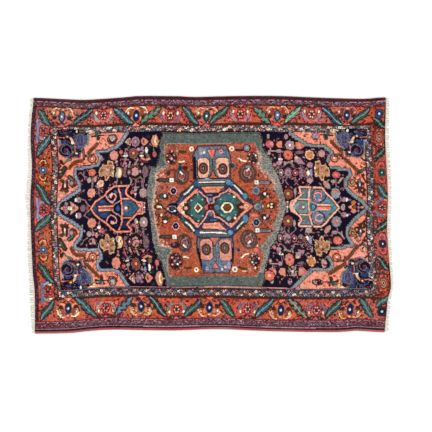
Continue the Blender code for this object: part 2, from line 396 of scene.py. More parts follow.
def weaveInnerGuard(start, end, half, seed):  # a running stem with leaves on one side and buds on the other
    length = math.dist(start, end)
    ux, uy = (end[0] - start[0]) / length, (end[1] - start[1]) / length
    count = round(length / innerGuard["pitch"])
    pitch = length / count

    def spot(along, off):
        x, y = start[0] + ux * along - uy * off, start[1] + uy * along + ux * off
        return (x, y + float(bowAt(x, y))) if ux else (x, y)

    swing = innerGuard["swing"]
    stem = [spot(k * pitch / 4, swing * math.sin(k * math.pi / 2)) for k in range(4 * count + 1)]
    line("umber", 8, stem)
    line("greyBeige", 3.5, stem)
    for k in range(2 * count):
        side = 1 if k % 2 == 0 else -1
        along = (k + 0.5) * pitch / 2
        flower = innerGuard["flowers"][(k * 5 + seed) % len(innerGuard["flowers"])]
        second = innerGuard["flowers"][(k * 3 + seed + 2) % len(innerGuard["flowers"])]
        green = innerGuard["leaves"][(k * 5 + seed) % len(innerGuard["leaves"])]
        turn = math.degrees(math.atan2(uy, ux)) + 25 * side
        leafAt, budAt = spot(along + 4, side * half * 0.55), spot(along - 3, -side * half * 0.42)
        dab("umber", *leafAt, 16, 8.5, turn)
        dab(green, *leafAt, 12, 5.5, turn)
        dab("umber", *budAt, 13, 10, turn)
        dab(flower, *budAt, 10, 7, turn)
        dab(("wine", "gold", "umber")[k % 3], *budAt, 3, 3)
        dab(second, *spot(along + 12, -side * half * 0.7), 5, 4)
        dab("wine", *spot(along - 14, side * half * 0.8), 5, 3.5)


weaveInnerGuard((-838, 469), (872, 469), 15, 0)
weaveInnerGuard((-838, -437), (872, -437), 18, 3)
weaveInnerGuard((-854, -452), (-854, 484), 14, 1)
weaveInnerGuard((889, -452), (889, 484), 16, 2)
for box in [(-868, 903, 453, 486), (-868, 903, -458, -420), (-868, -840, -450, 480), (874, 903, -450, 480)]:
    speckle(["umber", "maroon", "dusk", "umber", "steel"], *box, 0.26, 30)
for box, dyes, share in [((-868, 903, 453, 486), ["salmonPale", "cream", "petalPink"], 0.09),
                         ((-868, -840, -450, 480), ["salmonPale", "coral", "petalPink"], 0.08),
                         ((-868, 903, -458, -420), ["umber", "ink"], 0.1),
                         ((874, 903, -450, 480), ["umber", "ink"], 0.12)]:
    speckle(dyes, *box, share, 32)
print("guards woven")

# the main border: its leaves, and between them palmettes and small flowers
leaves = """
    leaf teal green greySage -950,578 -882,500; tealGreen ink greySage -652,592 -745,512;
    tealGreen steel greySky -532,588 -418,497; sage green mintDull -272,585 -372,497;
    tealGreen teal greySage -148,588 -58,498; green tealGreen greySage 102,588 12,498;
    sage green mintDull 250,582 342,498; mintDull sage mint 507,592 428,502;
    tealGreen blueDeep greySky 628,592 742,502; tealGreen green greySage 892,592 798,508;
    greenDark green greySage 915,535 985,480; tealGreen green greySage -880,-470 -950,-575;
    teal tealGreen greySage -757,-460 -638,-572; steel tealGreen greySage -443,-465 -532,-572;
    greenDark green greySky -345,-465 -248,-572; tealGreen green greySage -60,-488 -147,-577;
    tealGreen green greySage 50,-488 132,-577; tealGreen teal greySky 345,-473 253,-577;
    sage khakiDark greyBeige 430,-473 542,-572; tealGreen green greySage 725,-473 648,-568;
    teal green greySage 830,-473 907,-568; teal green greySage 985,-450 925,-512;
    tealGreen steel greySage -875,445 -950,328; tealGreen green greySage -955,172 -873,63;
    teal green greySage -873,7 -957,-87; tealGreen green greySage -952,-268 -873,-372;
    greenDark green greySage 977,367 918,303; tealGreen teal greySage 913,172 985,93;
    greenDark green greySage 985,-38 913,-102; greenDark green greySage 918,-238 977,-307
"""

# one small flower round its own middle, +y away from its arms; arch, hook, bud and petal are roles
borderFlower = """
    fill umber -62,64 62,64 42,48 10,38 -10,38 -42,48; rose -17,60 17,60 0,42;
    arch -44,44 -20,36 20,36 44,44 70,14 72,-36 -72,-36 -70,14; both line maroon 4 -64,22 -60,-10 -40,-34;
    both hook 13 -52,12 -44,-14 -22,-31; dab mauve -58,-8 8,9; mauve 50,-24 10,7;
    both line wine 4 -32,18 -28,-12 -10,-27; both dab brown -42,20 10,14 bud 6,10;
    red 0,6 24,32 maroon 20,28; red 0,29 9,5; both petal -13,5 4.5,5.5; petal -6,20 4.5,6; petal 7,20 4.5,6;
    petal -6,-11 4.5,6; petal 7,-11 4.5,6; umber 0,4 7,10; mauve -22,52 5,5; mauve 24,52 5,5
"""
# an eye between two scrolls, +y away from its small triangle; eye, base, scroll, rim and heart are roles
borderPalmette = """
    fill bay -100,50 100,50 52,-30 30,-46 -30,-46 -52,-30;
    both line maroon 6 -16,-38 -44,-14 -62,16 -56,44 -36,56; both dab base -34,-10 17,16;
    both brown -40,20 20,30; both scroll -45,26 13,21; both rust -38,18 10,18; both heart -27,22 7,14;
    both umber -42,-4 13,12; both maroon -56,-16 6,5; line rim 6 -60,28 -52,44 -38,50 -18,46;
    rim 6 62,12 56,34 42,50 22,52; both dab brown -46,22 8,9; white -46,22 5,7; pink 46,22 5,6;
    gold 2,43 6,5; dusk 0,3 21,34 ink 18,31 eye 12,24; steel 2,4 8,9; white 0,4 5,6;
    fill maroon -34,-58 34,-58 0,-28; base -24,-55 24,-55 0,-34
"""
palmettes = [  # x, y, turn, size, and dyes: eye, base, scroll, rim, heart
    (-815, 546, 0, 1.0, "steel", "rose", "ochre", "salmonPale", "orange"),
    (-403, 536, 0, 1.0, "ink", "salmon", "sienna", "cream", "rust"),
    (-12, 536, 0, 1.0, "tealGreen", "rose", "sienna", "salmonPale", "orange"),
    (382, 538, 0, 1.0, "steel", "coral", "sienna", "salmonPale", "red"),
    (768, 552, 0, 0.95, "ink", "coral", "brick", "rose", "wine"),
    (-797, -511, 180, 1.0, "ink", "salmon", "gold", "cream", "red"),
    (-390, -516, 180, 1.0, "ink", "coral", "gold", "gold", "orange"),
    (-8, -526, 180, 1.0, "ink", "coral", "sienna", "salmonPale", "orange"),
    (392, -530, 180, 1.0, "ink", "coral", "gold", "salmonPale", "rust"),
    (778, -526, 180, 1.0, "ink", "coral", "sienna", "gold", "rose"),
]
flowers = [  # x, y, turn, and dyes: arch, hook, bud, petal
    (-585, 550, 0, "coral", "greyBeige", "cream", "pink"),
    (-213, 535, 0, "brickPale", "mauve", "white", "salmonPale"),
    (175, 543, 0, "coral", "lilacPink", "cream", "pink"),
    (572, 550, 0, "brickPale", "lilacPink", "cream", "salmonPale"),
    (-587, -524, 180, "coral", "greyBeige", "cream", "pink"),
    (-191, -530, 180, "brickPale", "sage", "white", "salmonPale"),
    (205, -530, 180, "brickPale", "mauve", "cream", "pink"),
    (590, -526, 180, "brickPale", "mauve", "cream", "pink"),
    (-918, 467, -90, "brickDull", "lilac", "cream", "rose"),
    (-914, 30, -90, "brickPale", "lilac", "salmonPale", "rose"),
    (-915, -420, -90, "brickPale", "sky", "cream", "rose"),
    (950, 40, -90, "brickDeep", "steel", "petalPink", "petalPink"),
]
endFlowers = [  # x, y, and dyes: bay, petals, curls; the cut flowers of the two narrow borders
    (-921, 250, "bay", "steel", "gold"), (-920, -190, "bay", "steel", "gold"),
    (955, 232, "brickDeep", "tealGreen", "rose"), (955, -162, "brickDeep", "ink", "rose"),
]
endArm = """
    line maroon 5 -24,40 -8,62 16,60 26,34; curls 5 -18,38 -4,54 12,52 16,38; khaki 4 -10,76 8,84 26,74;
    dab maroon -2,36 9,7; red -2,37 5,4; brown 30,18 5,9; line umber 6 -28,66 -14,88 8,98;
    dab umber 12,70 6,5 salmonPale 3,3
"""


def weaveMainBorder():
    for x, y, bay, petals, curls in endFlowers:
        left, right = (-26, 46) if x < 0 else (-34, 30)
        bed = [(left, -52), (10, -96), (right, -112), (right, 112), (10, 96), (left, 52)]
        fill(bay, [(x + u, y + v) for u, v in bed])
        for out in (-1, 1):
            draw(endArm, (x, y), (1, out), curls=curls)
        rosette(x, y, 19, [("umber", 1.3), (petals, 1.05), ("ink", 0.74), (petals, 0.5), ("white", 0.22)], 8)
    for a, b in [(-885, -745), (-455, -355), (-70, 25), (330, 440), (735, 810)]:  # stems that join leaves
        stem = [(x, 508 + float(bowAt(x, 508))) for x in (a, b)]
        line("umber", 12, stem)
        line("greySage", 4, stem)
    for x, y, turn, size, *dyes in palmettes:
        roles = dict(zip(("eye", "base", "scroll", "rim", "heart"), dyes))
        draw(borderPalmette, (x, y), (size, size), turn, **roles)
    for x, y, turn, *dyes in flowers:
        draw(borderFlower, (x, y), (0.94, 0.94), turn, **dict(zip(("arch", "hook", "bud", "petal"), dyes)))
    draw(leaves)


weaveMainBorder()

for x, y, radius, dye in [(948, 558, 21, "blue"), (958, -537, 22, "ink")]:
    rosette(x, y, radius, [("umber", 1.35), (dye, 1.0), ("navy", 0.7), ("sky", 0.4), ("white", 0.22)], 8)
for x, y in [(950, 428), (943, -380)]:  # ringed red rosettes of the cut right end
    rosette(x, y, 25, [("umber", 1.3), ("brickDeep", 1.14), ("maroon", 0.86), ("tan", 0.7), ("umber", 0.52),
                       ("petalPink", 0.36), ("umber", 0.18)], 8, 1.5)
    for out in (-1, 1):
        draw("line umber 6 -22,48 0,58 20,48; both dab petalPink -12,40 4,4", (x, y), (1, out))
for y in (135, 350, -50, -290):
    draw("line umber 28 917,-30 917,30; wine 20 918,-26 918,26; brickDull 12 919,-24 919,24", (0, y))
draw("""
    line dusk 17 lilac 11 -950,528 -944,470 -948,405; dusk 17 lilac 11 -947,92 -941,40 -946,-14;
    dusk 17 steel 11 -942,-372 -938,-430 -944,-486
""")  # pale patches along the left edge
borderGround = ["brick", "brickDull", "brickPale", "bay", "coral"]
for box, count, seed in [((-985, 985, 500, 592), 760, 73), ((-985, 985, -583, -470), 900, 74),
                         ((-960, -874, -470, 500), 520, 75), ((905, 980, -470, 500), 760, 76)]:
    crumbs(["maroon", "brown", "umber", "maroon", "wine", "rust", "dusk"], *box, count, seed, borderGround)
speckle(["navyBlack", "maroon", "wine", "dusk"], -985, -962, -583, 592, 0.45, 85, ["plumDark"])
print("main border woven")

# the field: salmon corners, and the navy ground with its stepped light blue edge
fieldLeft = path("""
    -447,453 -480,404 -512,374 -556,359 -616,352 -600,318 -618,284 -650,274 -700,270 -743,262 -744,240
    -735,212 -716,180 -714,148 -745,128 -792,97 -822,72 -835,38 -822,15 -795,-8 -758,-25 -725,-50
    -703,-74 -706,-102 -720,-132 -742,-152 -742,-172 -725,-184 -680,-190 -606,-196 -600,-238 -622,-262
    -625,-290 -608,-312 -522,-313 -500,-338 -480,-378 -458,-412
""")
fieldRight = path("""
    455,450 490,425 540,395 570,382 650,380 686,350 662,318 652,285 655,262 720,262 775,252 782,232
    757,200 755,160 768,138 802,108 840,80 872,42 840,10 800,-25 780,-50 764,-72 762,-112 778,-145
    790,-165 700,-182 650,-185 638,-215 665,-255 670,-280 650,-300 550,-305 520,-330 480,-370 440,-410
""")
longBand("salmon", -835, 868, -410, 446)
longBand("steel", -838, 870, -415, -411)
fill("navy", fieldLeft + fieldRight[::-1])
for outline, dye, heart in [(fieldLeft, "edgeBlue", "sky"), (fieldRight, "greySage", "edgeBlue")]:
    for shade, width in [("umber", 20), (dye, 13), (heart, 5)]:
        line(shade, width, stepped(outline))
speckle(["steel", "greySage", "greySky", "lilac"], -845, 880, -412, 455, 0.35, 31, ["edgeBlue", "sky"])

# the spray beside the lower left corner; its like stands above it
leftSpray = """
    fill umber -756,-66 -742,-72 -728,-86 -728,-106 -742,-120 -756,-136 -776,-146 -790,-132 -780,-118
    -770,-112 -770,-80;
    umber -826,-50 -812,-42 -800,-48 -792,-36 -784,-46 -770,-42 -778,-58 -766,-66 -778,-72 -776,-92
    -782,-116 -792,-120 -790,-70 -802,-66 -802,-104 -820,-116 -826,-104 -812,-94 -816,-66;
    line brown 4 -816,-52 -786,-52; maroon 6 -784,-62 -783,-108; dab khakiDark -814,-110 13,9;
    white -796,-80 4,10; tealDusk -796,-105 6,9; rose -824,-86 6,12; line lilacPink 5 -776,-78 -775,-110;
    dab brown -758,-88 14,13; greyBeige -760,-96 9,11; red -740,-100 7,12; umber -744,-84 6,5;
    line umber 16 -778,-132 -754,-112; tealDusk 9 -777,-132 -755,-113; dab rose -796,-136 12,6;
    line umber 30 -828,-134 -800,-182; green 13 -822,-146 -802,-176; umber 9 -836,-178 -822,-196 -834,-206;
    greenDark 8 -812,-154 -800,-176; dab maroon -826,-168 9,9; pink -826,-163 5,5; maroon -822,-220 10,14;
    line umber 15 -812,-208 -790,-228 -766,-238; sage 6 -806,-214 -786,-230 -766,-238;
    salmonPale 5 -806,-222 -794,-234
"""
# the spray beside the upper right corner; its like stands below it
rightSpray = """
    fill umber 804,208 818,196 834,206 838,188 858,172 848,158 868,138 856,126 868,100 848,106 838,122
    818,126 822,140 802,148 816,160 804,176; dab umber 786,178 23,22 tan 18,17; umber 786,179 12,11;
    greyBeige 788,180 7,6; rust 776,190 5,5; line umber 14 800,208 816,222; greyBeige 6 803,211 815,221;
    tealDusk 9 828,192 831,158; dab white 831,168 4,8; salmon 812,190 5,6; brickDull 846,158 6,5;
    salmon 842,138 4,6; line khakiDark 7 822,134 858,108; umber 16 838,236 866,262;
    tealDusk 7 842,240 862,258; maroon 9 842,222 858,196 866,178; dab maroon 852,222 8,9;
    khakiDark 826,246 8,9; rust 862,284 9,9; line greenDark 9 868,300 846,316
"""
# one corner's plant, as it stands at the lower left; the others are turned over from it
corner = """
    dab umber -648,-237 25,27 brown 22,24; salmon -648,-238 17,19 brickDeep 12,13;
    salmonPale -648,-236 7,8 white 4,5; line umber 15 -688,-256 -652,-256; khaki 8 -676,-256 -656,-256;
    maroon 14 -694,-236 -692,-296; dusk 6 -694,-246 -692,-288;
    fill navyBlack -824,-346 -822,-268 -806,-246 -776,-236 -744,-246 -712,-244 -706,-276 -692,-302 -668,-322
    -656,-348 -660,-392 -700,-412 -760,-414 -834,-412 -834,-372;
    line greySage 9 -820,-344 -818,-270 -802,-248 -776,-241; dusk 8 -776,-241 -744,-250 -716,-247 -711,-274;
    greySage 8 -704,-294 -674,-324 -662,-350 -665,-384; dab bushBlue -790,-268 22,18;
    bushBlue -704,-350 34,42; ink -742,-300 26,34; bushBlue -792,-336 18,13;
    line steel 5 -806,-322 -812,-296 -802,-272 -782,-262 -762,-272;
    dusk 7 -800,-312 -800,-290 -784,-278 -768,-288 -768,-306 -782,-312; dab plumDark -784,-298 10,9;
    wine -782,-296 5,6; tealGreen -758,-310 10,13; line wine 9 -778,-262 -750,-264;
    lilacPink 4 -774,-266 -752,-270; dab umber -738,-274 18,12; cream -733,-273 7,6; sage -752,-278 7,6;
    line rose 6 -740,-284 -738,-328; salmonDeep 5 -742,-330 -700,-336; dab bushBlue -716,-310 13,15;
    line mauve 4 -722,-300 -712,-322; tealDusk 6 -706,-306 -684,-328 -682,-352; dab lilac -693,-343 6,8;
    cream -751,-334 9,8; line gold 7 -755,-344 -766,-368; salmonPale 5 -748,-344 -757,-362;
    dab maroon -780,-370 14,13 rust 10,9 cream 4,4; line salmonDeep 4 -832,-364 -796,-362;
    dab lilac -824,-342 5,7; bushBlue -734,-360 15,27; brown -709,-372 16,22; mauve -710,-372 11,16;
    brown -711,-374 6,9; blueHeart -674,-366 9,15; line bushBlue 8 -810,-386 -764,-398;
    wine 5 -826,-400 -780,-408; dab white -727,-402 6,8; khaki -702,-402 12,6; brown -646,-390 18,12;
    gold -646,-392 14,9; rose -640,-389 6,5; line cream 6 -674,-401 -648,-405;
    greenDark 12 -642,-370 -600,-374; dab greenDark -608,-358 10,14; tealGreen -618,-384 10,14;
    umber -598,-390 6,9; line umber 6 -602,-344 -610,-364; maroon 6 -600,-372 -572,-374
"""
overTop = ((0, 92), (1, -0.94))  # where a lower left stroke is carried to, and its scale
toRight, overTopRight = ((48, 0), (-1, 1)), ((48, 92), (-1, -0.94))
draw(corner)
for at, scale in (overTop, toRight, overTopRight):
    draw(corner, at, scale)
draw(leftSpray)
draw(leftSpray, *overTop)
draw(rightSpray)
draw(rightSpray, (6, 76), (1, -1))
for x, y, way in [(-793, 362, 1), (-790, -298, -1), (826, 358, -1), (842, -292, 1)]:  # spiral blossoms
    draw("dab dusk 0,0 40,38 navy 35,33; dab bushBlue 12,-14 17,12", (x, y), (way, 1))
    spiral("mauve", 5, x, y, 29, 90, 420 * way, 0.8)
    draw("dab plumDark 0,0 10,9 wine 5,5", (x, y))
for at in [(-708, 420), (-704, -354), (757, 428), (748, -352)]:  # striped blue lobes beside them
    draw("""
        dab dusk 0,0 31,36 bushBlue 26,31; line steel 4 -16,-20 -19.2,0 -16,20; dab brown -8,-12 3,6;
        line mauve 4 0,-20 0,0 0,20; dab brown 8,-12 3,6; line steel 4 16,-20 19.2,0 16,20;
        dab brown 24,-12 3,6
    """, at)
for at in [(840, 452), (850, 398), (846, -336), (772, -398)]:
    dab("blueDeep", *at, 15, 13)
bars = """
    -766,-182 -750,-210 -738,-221 -696,-224; -684,-276 -622,-350; -772,272 -740,301 -706,306;
    -664,350 -614,396; 685,405 738,352; 755,312 815,250; 816,-178 752,-246; 738,-272 655,-325
"""
for bar in bars.split(";"):
    stripedBar(path(bar))
rosette(-530, 417, 30, [("wine", 1.0), ("greyBeige", 0.7), ("mint", 0.35)], 6)
rosette(-550, -378, 28, [("wine", 1.0), ("greyBeige", 0.75), ("mint", 0.35)], 6)
rosette(598, 432, 20, [("wine", 1.1), ("lilacPink", 0.9), ("grey", 0.4)], 6)
draw("dab umber 580,-375 33,18 lilacPink 27,12 cream 8,5")
for box, count, seed in [((-835, -450, -405, 445), 420, 77), ((450, 868, -405, 445), 440, 78),
                         ((775, 868, 60, 270), 60, 79), ((775, 868, -190, 20), 60, 80)]:
    crumbs(["maroon", "rust", "brown", "salmonDeep", "rust"], *box, count, seed, ["salmon"])
for box, seed in [((-835, -655, -412, -235), 51), ((-835, -655, 310, 470), 52), ((700, 885, -412, -235), 53),
                  ((700, 885, 310, 475), 54)]:  # mixed blues and purples within the four plants
    mixed = ["dusk", "navy", "plumDark", "steel", "ink", "navyBlack"]
    speckle(mixed, *box, 0.3, seed, ["navyBlack", "bushBlue", "ink"])
print("corners woven")

# the flowers of the navy ground, first those above the left pendant; their like stands below it
upperLeft = """
    line halo 24 -450,395 -290,397; fill salmonPale -462,397 -432,422 -430,372;
    line maroon 4 -446,406 -446,388; maroon 4 -437,412 -437,382; mauved lilacPink -402,395 23,27;
    fill halo -378,397 -362,426 -326,395 -362,364;
    petal -372,397 -360,419 -346,412 -329,395 -346,378 -360,371; dab brown -356,396 6,10;
    orange -350,391 4,5; fill halo -322,397 -308,434 -284,438 -268,397 -280,358 -308,362;
    petal -316,397 -304,428 -284,432 -272,397 -284,364 -304,368; ochre -292,424 -276,412 -276,378 -290,372;
    line cream 8 -288,418 -294,398 -286,376; dab greenDark -330,423 11,8; greenDark -328,367 9,9;
    line greyBeige 6 -272,398 -246,398; plain petal -525,326 23,27; blank rose -485,342 10,11;
    line stem 6 -461,362 -460,345; dab greyBeige -460,331 10,12; cream -461,319 14,6; lilac -461,306 6,8;
    line rose 9 -463,298 -472,280 -478,262; dab petalPink -463,279 6,6;
    line stem 9 -462,264 -474,240 -470,206; dab mauve -462,226 10,24; browned mauve -417,331 25,29;
    dab petalPink -387,351 9,9; lilac -367,356 7,13; grey -371,332 7,7; halo -343,347 14,22 white 7,17;
    line halo 30 -372,304 -330,298; dab cream -372,316 12,6; line petal 11 -372,303 -350,293 -330,299;
    dab khaki -338,315 11,11; line wine 7 -384,296 -366,281 -342,281; dab petalPink -373,270 7,7;
    blank rose -300,325 11,15; line sage 6 -304,358 -303,342; dab petalPink -513,291 6,9;
    line stem 8 -512,282 -510,262; dab halo -502,228 28,40; greyBeige -507,230 20,30; gold -497,228 13,28;
    cream -495,226 7,20; brown -479,232 6,22; line stem 6 -508,198 -512,162; dab halo -412,228 52,38;
    line greyBeige 9 -446,256 -438,284; greyBeige 9 -413,262 -398,292;
    brown 6 -444,242 -428,262 -404,264 -388,244; khaki 6 -428,192 -405,184 -388,194;
    plain petalPink -412,229 21,24; ringed mauve -445,228 11,15; dab petalPink -382,229 7,9;
    mauved mauve -355,229 17,31; dab khaki -356,232 6,12; line stem 6 -408,184 -408,150;
    greyBeige 7 -440,196 -430,178 -436,156; stem 7 -384,200 -372,186 -369,140; dab greyBeige -406,134 9,14;
    rose -424,116 12,9 40; white -405,102 6,6
"""
# those above the right pendant; their like stands below it too
upperRight = """
    line halo 26 322,380 500,378; dab greyBeige 335,424 8,13; brown 331,404 9,6; blank rose 342,381 22,20;
    dab petalPink 306,376 8,6; petalPink 352,384 9,12; line halo 22 330,343 385,343;
    greyBeige 7 335,343 374,343; greyBeige 6 346,360 346,344; dab lilacPink 391,343 15,10;
    petalPink 335,331 9,9; fill halo 420,410 376,396 368,380 384,356 420,354;
    petal 412,402 386,394 376,380 390,362 412,362; dab orange 398,386 7,8; blank lilacPink 434,424 11,14;
    eyed greyBeige 454,377 26,26; fill petalDeep 486,395 510,396 538,376 510,356 488,360;
    dab petal 504,378 11,13; mauve 505,341 24,10 10; reddened petalDeep 441,323 25,27;
    golden salmonPale 560,328 25,26; blank petalPink 627,338 18,20; line stem 6 399,336 398,306;
    dab white 397,299 13,5; petalPink 397,288 11,11; fill halo 470,322 512,320 542,268 468,268;
    lilacPink 476,316 506,314 532,276 478,274; dab gold 486,311 11,6; greyBeige 482,292 8,14;
    halo 450,262 50,30; line grey 9 414,262 430,280 450,285 470,262; dab petalPink 420,280 7,9;
    petalPink 460,288 7,8; rose 362,268 10,9; lilacPink 386,278 14,12;
    line stem 5 415,262 396,250 376,226 396,206 412,186 404,166; stem 5 398,252 412,226 398,204;
    stem 5 455,262 480,250 500,252; stem 5 430,200 420,180 436,158; stem 5 455,204 472,196 488,180 470,160;
    ringed greyBeige 398,226 12,18; dab mauve 437,228 22,26; lilacPink 436,226 17,20 khaki 6,9;
    ringed rose 475,226 15,17; dab mauve 512,228 18,24; line maroon 3 500,236 524,236;
    maroon 3 500,222 524,222; dab lilacPink 512,229 5,16; rust 531,228 6,10; lilac 563,230 9,20;
    cream 546,226 9,15; halo 560,272 24,20 lilacPink 18,15; petalPink 578,266 6,5;
    line stem 6 556,210 555,196; dab greyBeige 556,187 18,12; petalPink 556,178 8,9
"""
# what fills both ends of the field, from the left tip to the right one
ends = """
    dab halo -790,41 34,42; petal -808,41 8,8; line rose 9 -798,53 -782,30; rose 9 -798,29 -782,52;
    dab grey -786,66 10,10; grey -786,19 10,10; fill halo -772,90 -702,42 -772,-2;
    petal -766,82 -710,42 -766,5 -756,42; dab khaki -744,42 8,10; cream -766,42 12,11; mint -768,42 6,6;
    blank greyBeige -718,88 14,15; dab white -733,88 6,11; brown -715,86 5,7; blank lilacPink -718,0 16,17;
    dab white -729,0 5,13; halo -690,40 30,26; mauve -693,40 15,19; rust -669,40 7,15;
    line stem 7 -655,48 -672,66 -681,84 -705,92; stem 7 -655,30 -675,14 -688,-2 -668,-16 -655,-28;
    dab greenDark -656,4 11,10; line stem 8 -645,212 -645,148; stem 7 -646,-72 -640,-112;
    plain petalDeep -649,237 20,20; petal -648,123 22,26; petal -646,-46 23,27;
    blank petalPink -645,-151 22,19; dab wine -647,-165 5,6; greyBeige -664,196 11,16;
    petalPink -631,200 8,16; greyBeige -663,-106 13,15; lilacPink -641,-108 8,12;
    plain salmonPale -600,172 19,20; dab greyBeige -613,157 7,11; line stem 7 -609,148 -604,110;
    stem 6 -603,-38 -604,-62; dab white -607,-73 10,10; rose -594,-94 16,13 -30; petalPink -603,-95 7,7;
    petalPink -622,-116 7,15; line stem 7 -712,240 -694,220 -676,210; stem 7 -712,-165 -690,-138 -672,-128;
    dab greyBeige -598,318 9,12; line stem 6 -598,308 -590,296; dab halo 815,41 34,32; petal 842,41 8,7;
    grey 823,60 6,7; lilacPink 823,40 8,6; grey 823,21 6,7; fill halo 816,84 758,42 816,2;
    dab sienna 795,67 13,11; petal 797,19 14,11; fill petal 806,66 764,43 804,18 784,42;
    dab rust 802,42 8,11; halo 752,85 24,18; lilacPink 741,85 15,13; white 758,84 6,11; mauve 773,82 8,8;
    halo 752,-1 24,19; lilacPink 744,0 15,15; white 763,-3 5,7; mauve 776,2 7,6; greyBeige 738,42 12,18;
    line stem 7 708,62 722,80 736,92; stem 7 712,22 728,8 742,0; stem 7 700,194 699,150;
    stem 7 708,-68 708,-98; golden greySky 696,120 25,29; dab greySky 696,110 19,14;
    eyed greySage 704,-38 26,30; dab rose 703,-42 9,8; greyBeige 686,186 15,9;
    line greyBeige 10 712,178 736,206; stem 7 745,200 746,156 738,136; plain rose 702,222 22,18;
    dab lilacPink 692,-98 15,11; line greyBeige 9 716,-98 730,-110 744,-132; dab halo 707,-140 33,29;
    petalDeep 707,-143 25,22; salmonDeep 707,-146 10,12; greyBeige 648,166 14,26 38; petal 644,172 9,17 38;
    greyBeige 655,-82 13,26 -38; salmonDeep 653,-84 8,17 -38; eyed greyBeige -363,110 21,26;
    greyBeige -360,-52 22,29; dab petalPink -364,108 7,9; line stem 6 -362,200 -363,138;
    stem 6 -360,-82 -360,-130; dab rose -415,-70 13,9 -40; cream -396,-52 6,7;
    line greyBeige 6 -398,-72 -394,-104; browned red 436,108 27,28; dab gold 435,110 7,8;
    browned red 437,-40 28,29; dab gold 438,-42 7,8; ink 488,110 10,14; greyBeige 474,124 7,18;
    navy 490,-32 14,16; greyBeige 472,-52 7,18
"""
beads = [(5, 55, -356), (12, 64, 431)]  # strings of them across the rug: from, to and at
goldPalmette = """
    fill tanPale 0,26 2,50 12,54 20,46 31,46 34,24 40,12 34,0 40,-12 32,-20 38,-34 30,-42 14,-34 8,-48 0,-62
    -12,-60 -14,-40 -22,-30 -32,-38 -45,-32 -48,-10 -42,12 -30,22 -26,36 -12,26;
    tan 4,24 6,46 18,42 27,40 29,22 34,10 28,-2 33,-12 26,-22 30,-34 12,-30 3,-50 -8,-54 -11,-36 -20,-24
    -32,-32 -41,-26 -42,-8 -36,10 -26,18 -22,28 -10,20; dab brown 17,33 9,7; rose -3,15 12,7;
    khaki -31,-2 8,10; sienna -24,-16 10,7; line brown 5 15,10 17,-8 14,-26; dab khaki 26,0 6,10;
    petalPink -3,-18 11,7; sienna 3,-6 8,5; salmonPale -1,-2 7,4; brown -4,-42 4,10; khaki 24,-28 5,5;
    line petalPink 4 -18,10 -10,4 6,6; dab cream 34,8 4,6; cream 30,-24 5,4
"""
goldPalmettes = [(-565, 248, 0, 1), (-560, -176, 180, -1), (620, 248, 0, -1), (617, -180, 180, 1)]
fillers = ["stem", "stem", "mauve", "lilacPink", "greyBeige", "rose"]


def weaveField():
    random = np.random.default_rng(61)
    ground = ["navy", "halo", "navyBlack", *fillers]
    for xLow, xHigh, count in [(-740, -320, 420), (340, 740, 460)]:  # stray stems and petals
        for _ in range(count):
            x, y = random.uniform(xLow, xHigh), random.choice([-1, 1]) * random.uniform(70, 400) + 15
            turn = random.choice([-45, 0, 45, 90])
            dab("halo", x, y, 15, 9, turn, ground)
            dab(random.choice(fillers), x, y, random.uniform(6, 12), random.uniform(2.5, 4.5), turn, ground)
    for level in (228, -150):  # crossing stems in the right half
        for way in (-1, 1):
            stem = [(348 + 32 * k, level + way * 30 * (1 if k % 2 else -1)) for k in range(8)]
            line("halo", 12, stem)
            line("lilacPink", 4.5, stem)
    draw(upperLeft)
    draw(upperLeft, (4, 113.6), (1, -1.2))
    draw(upperRight)
    draw(upperRight, (-6, 134), (1, -1.2))
    draw(ends)
    for x, y, turn, flip in goldPalmettes:
        dab("halo", x, y, 50, 60)
        draw(goldPalmette, (x, y), (flip, 1), turn)
    for low, high, x in beads:
        line("halo", 20, [(x, low - 4), (x, high + 4)])
        for k in range(5):
            dab(("pink", "lilac", "white", "rose", "pink")[k], x, low + (high - low) * k / 4, 6, 5)


weaveField()
for xLow, xHigh, count, seed in [(-700, -370, 420, 83), (390, 700, 520, 84)]:
    crumbs(["navyBlack", "umber", "plumDark", "maroon"], xLow, xHigh, -400, -140, count, seed,
           ["lilacPink", "salmonPale", "rose", "cream", "greyBeige", "pink", "petalPink", "mauve", "coral"])
draw("dab greyBeige 317,-345 14,14; blank coral 317,-345 28,26; dab salmonPale 317,-345 10,9")
print("field flowers woven")

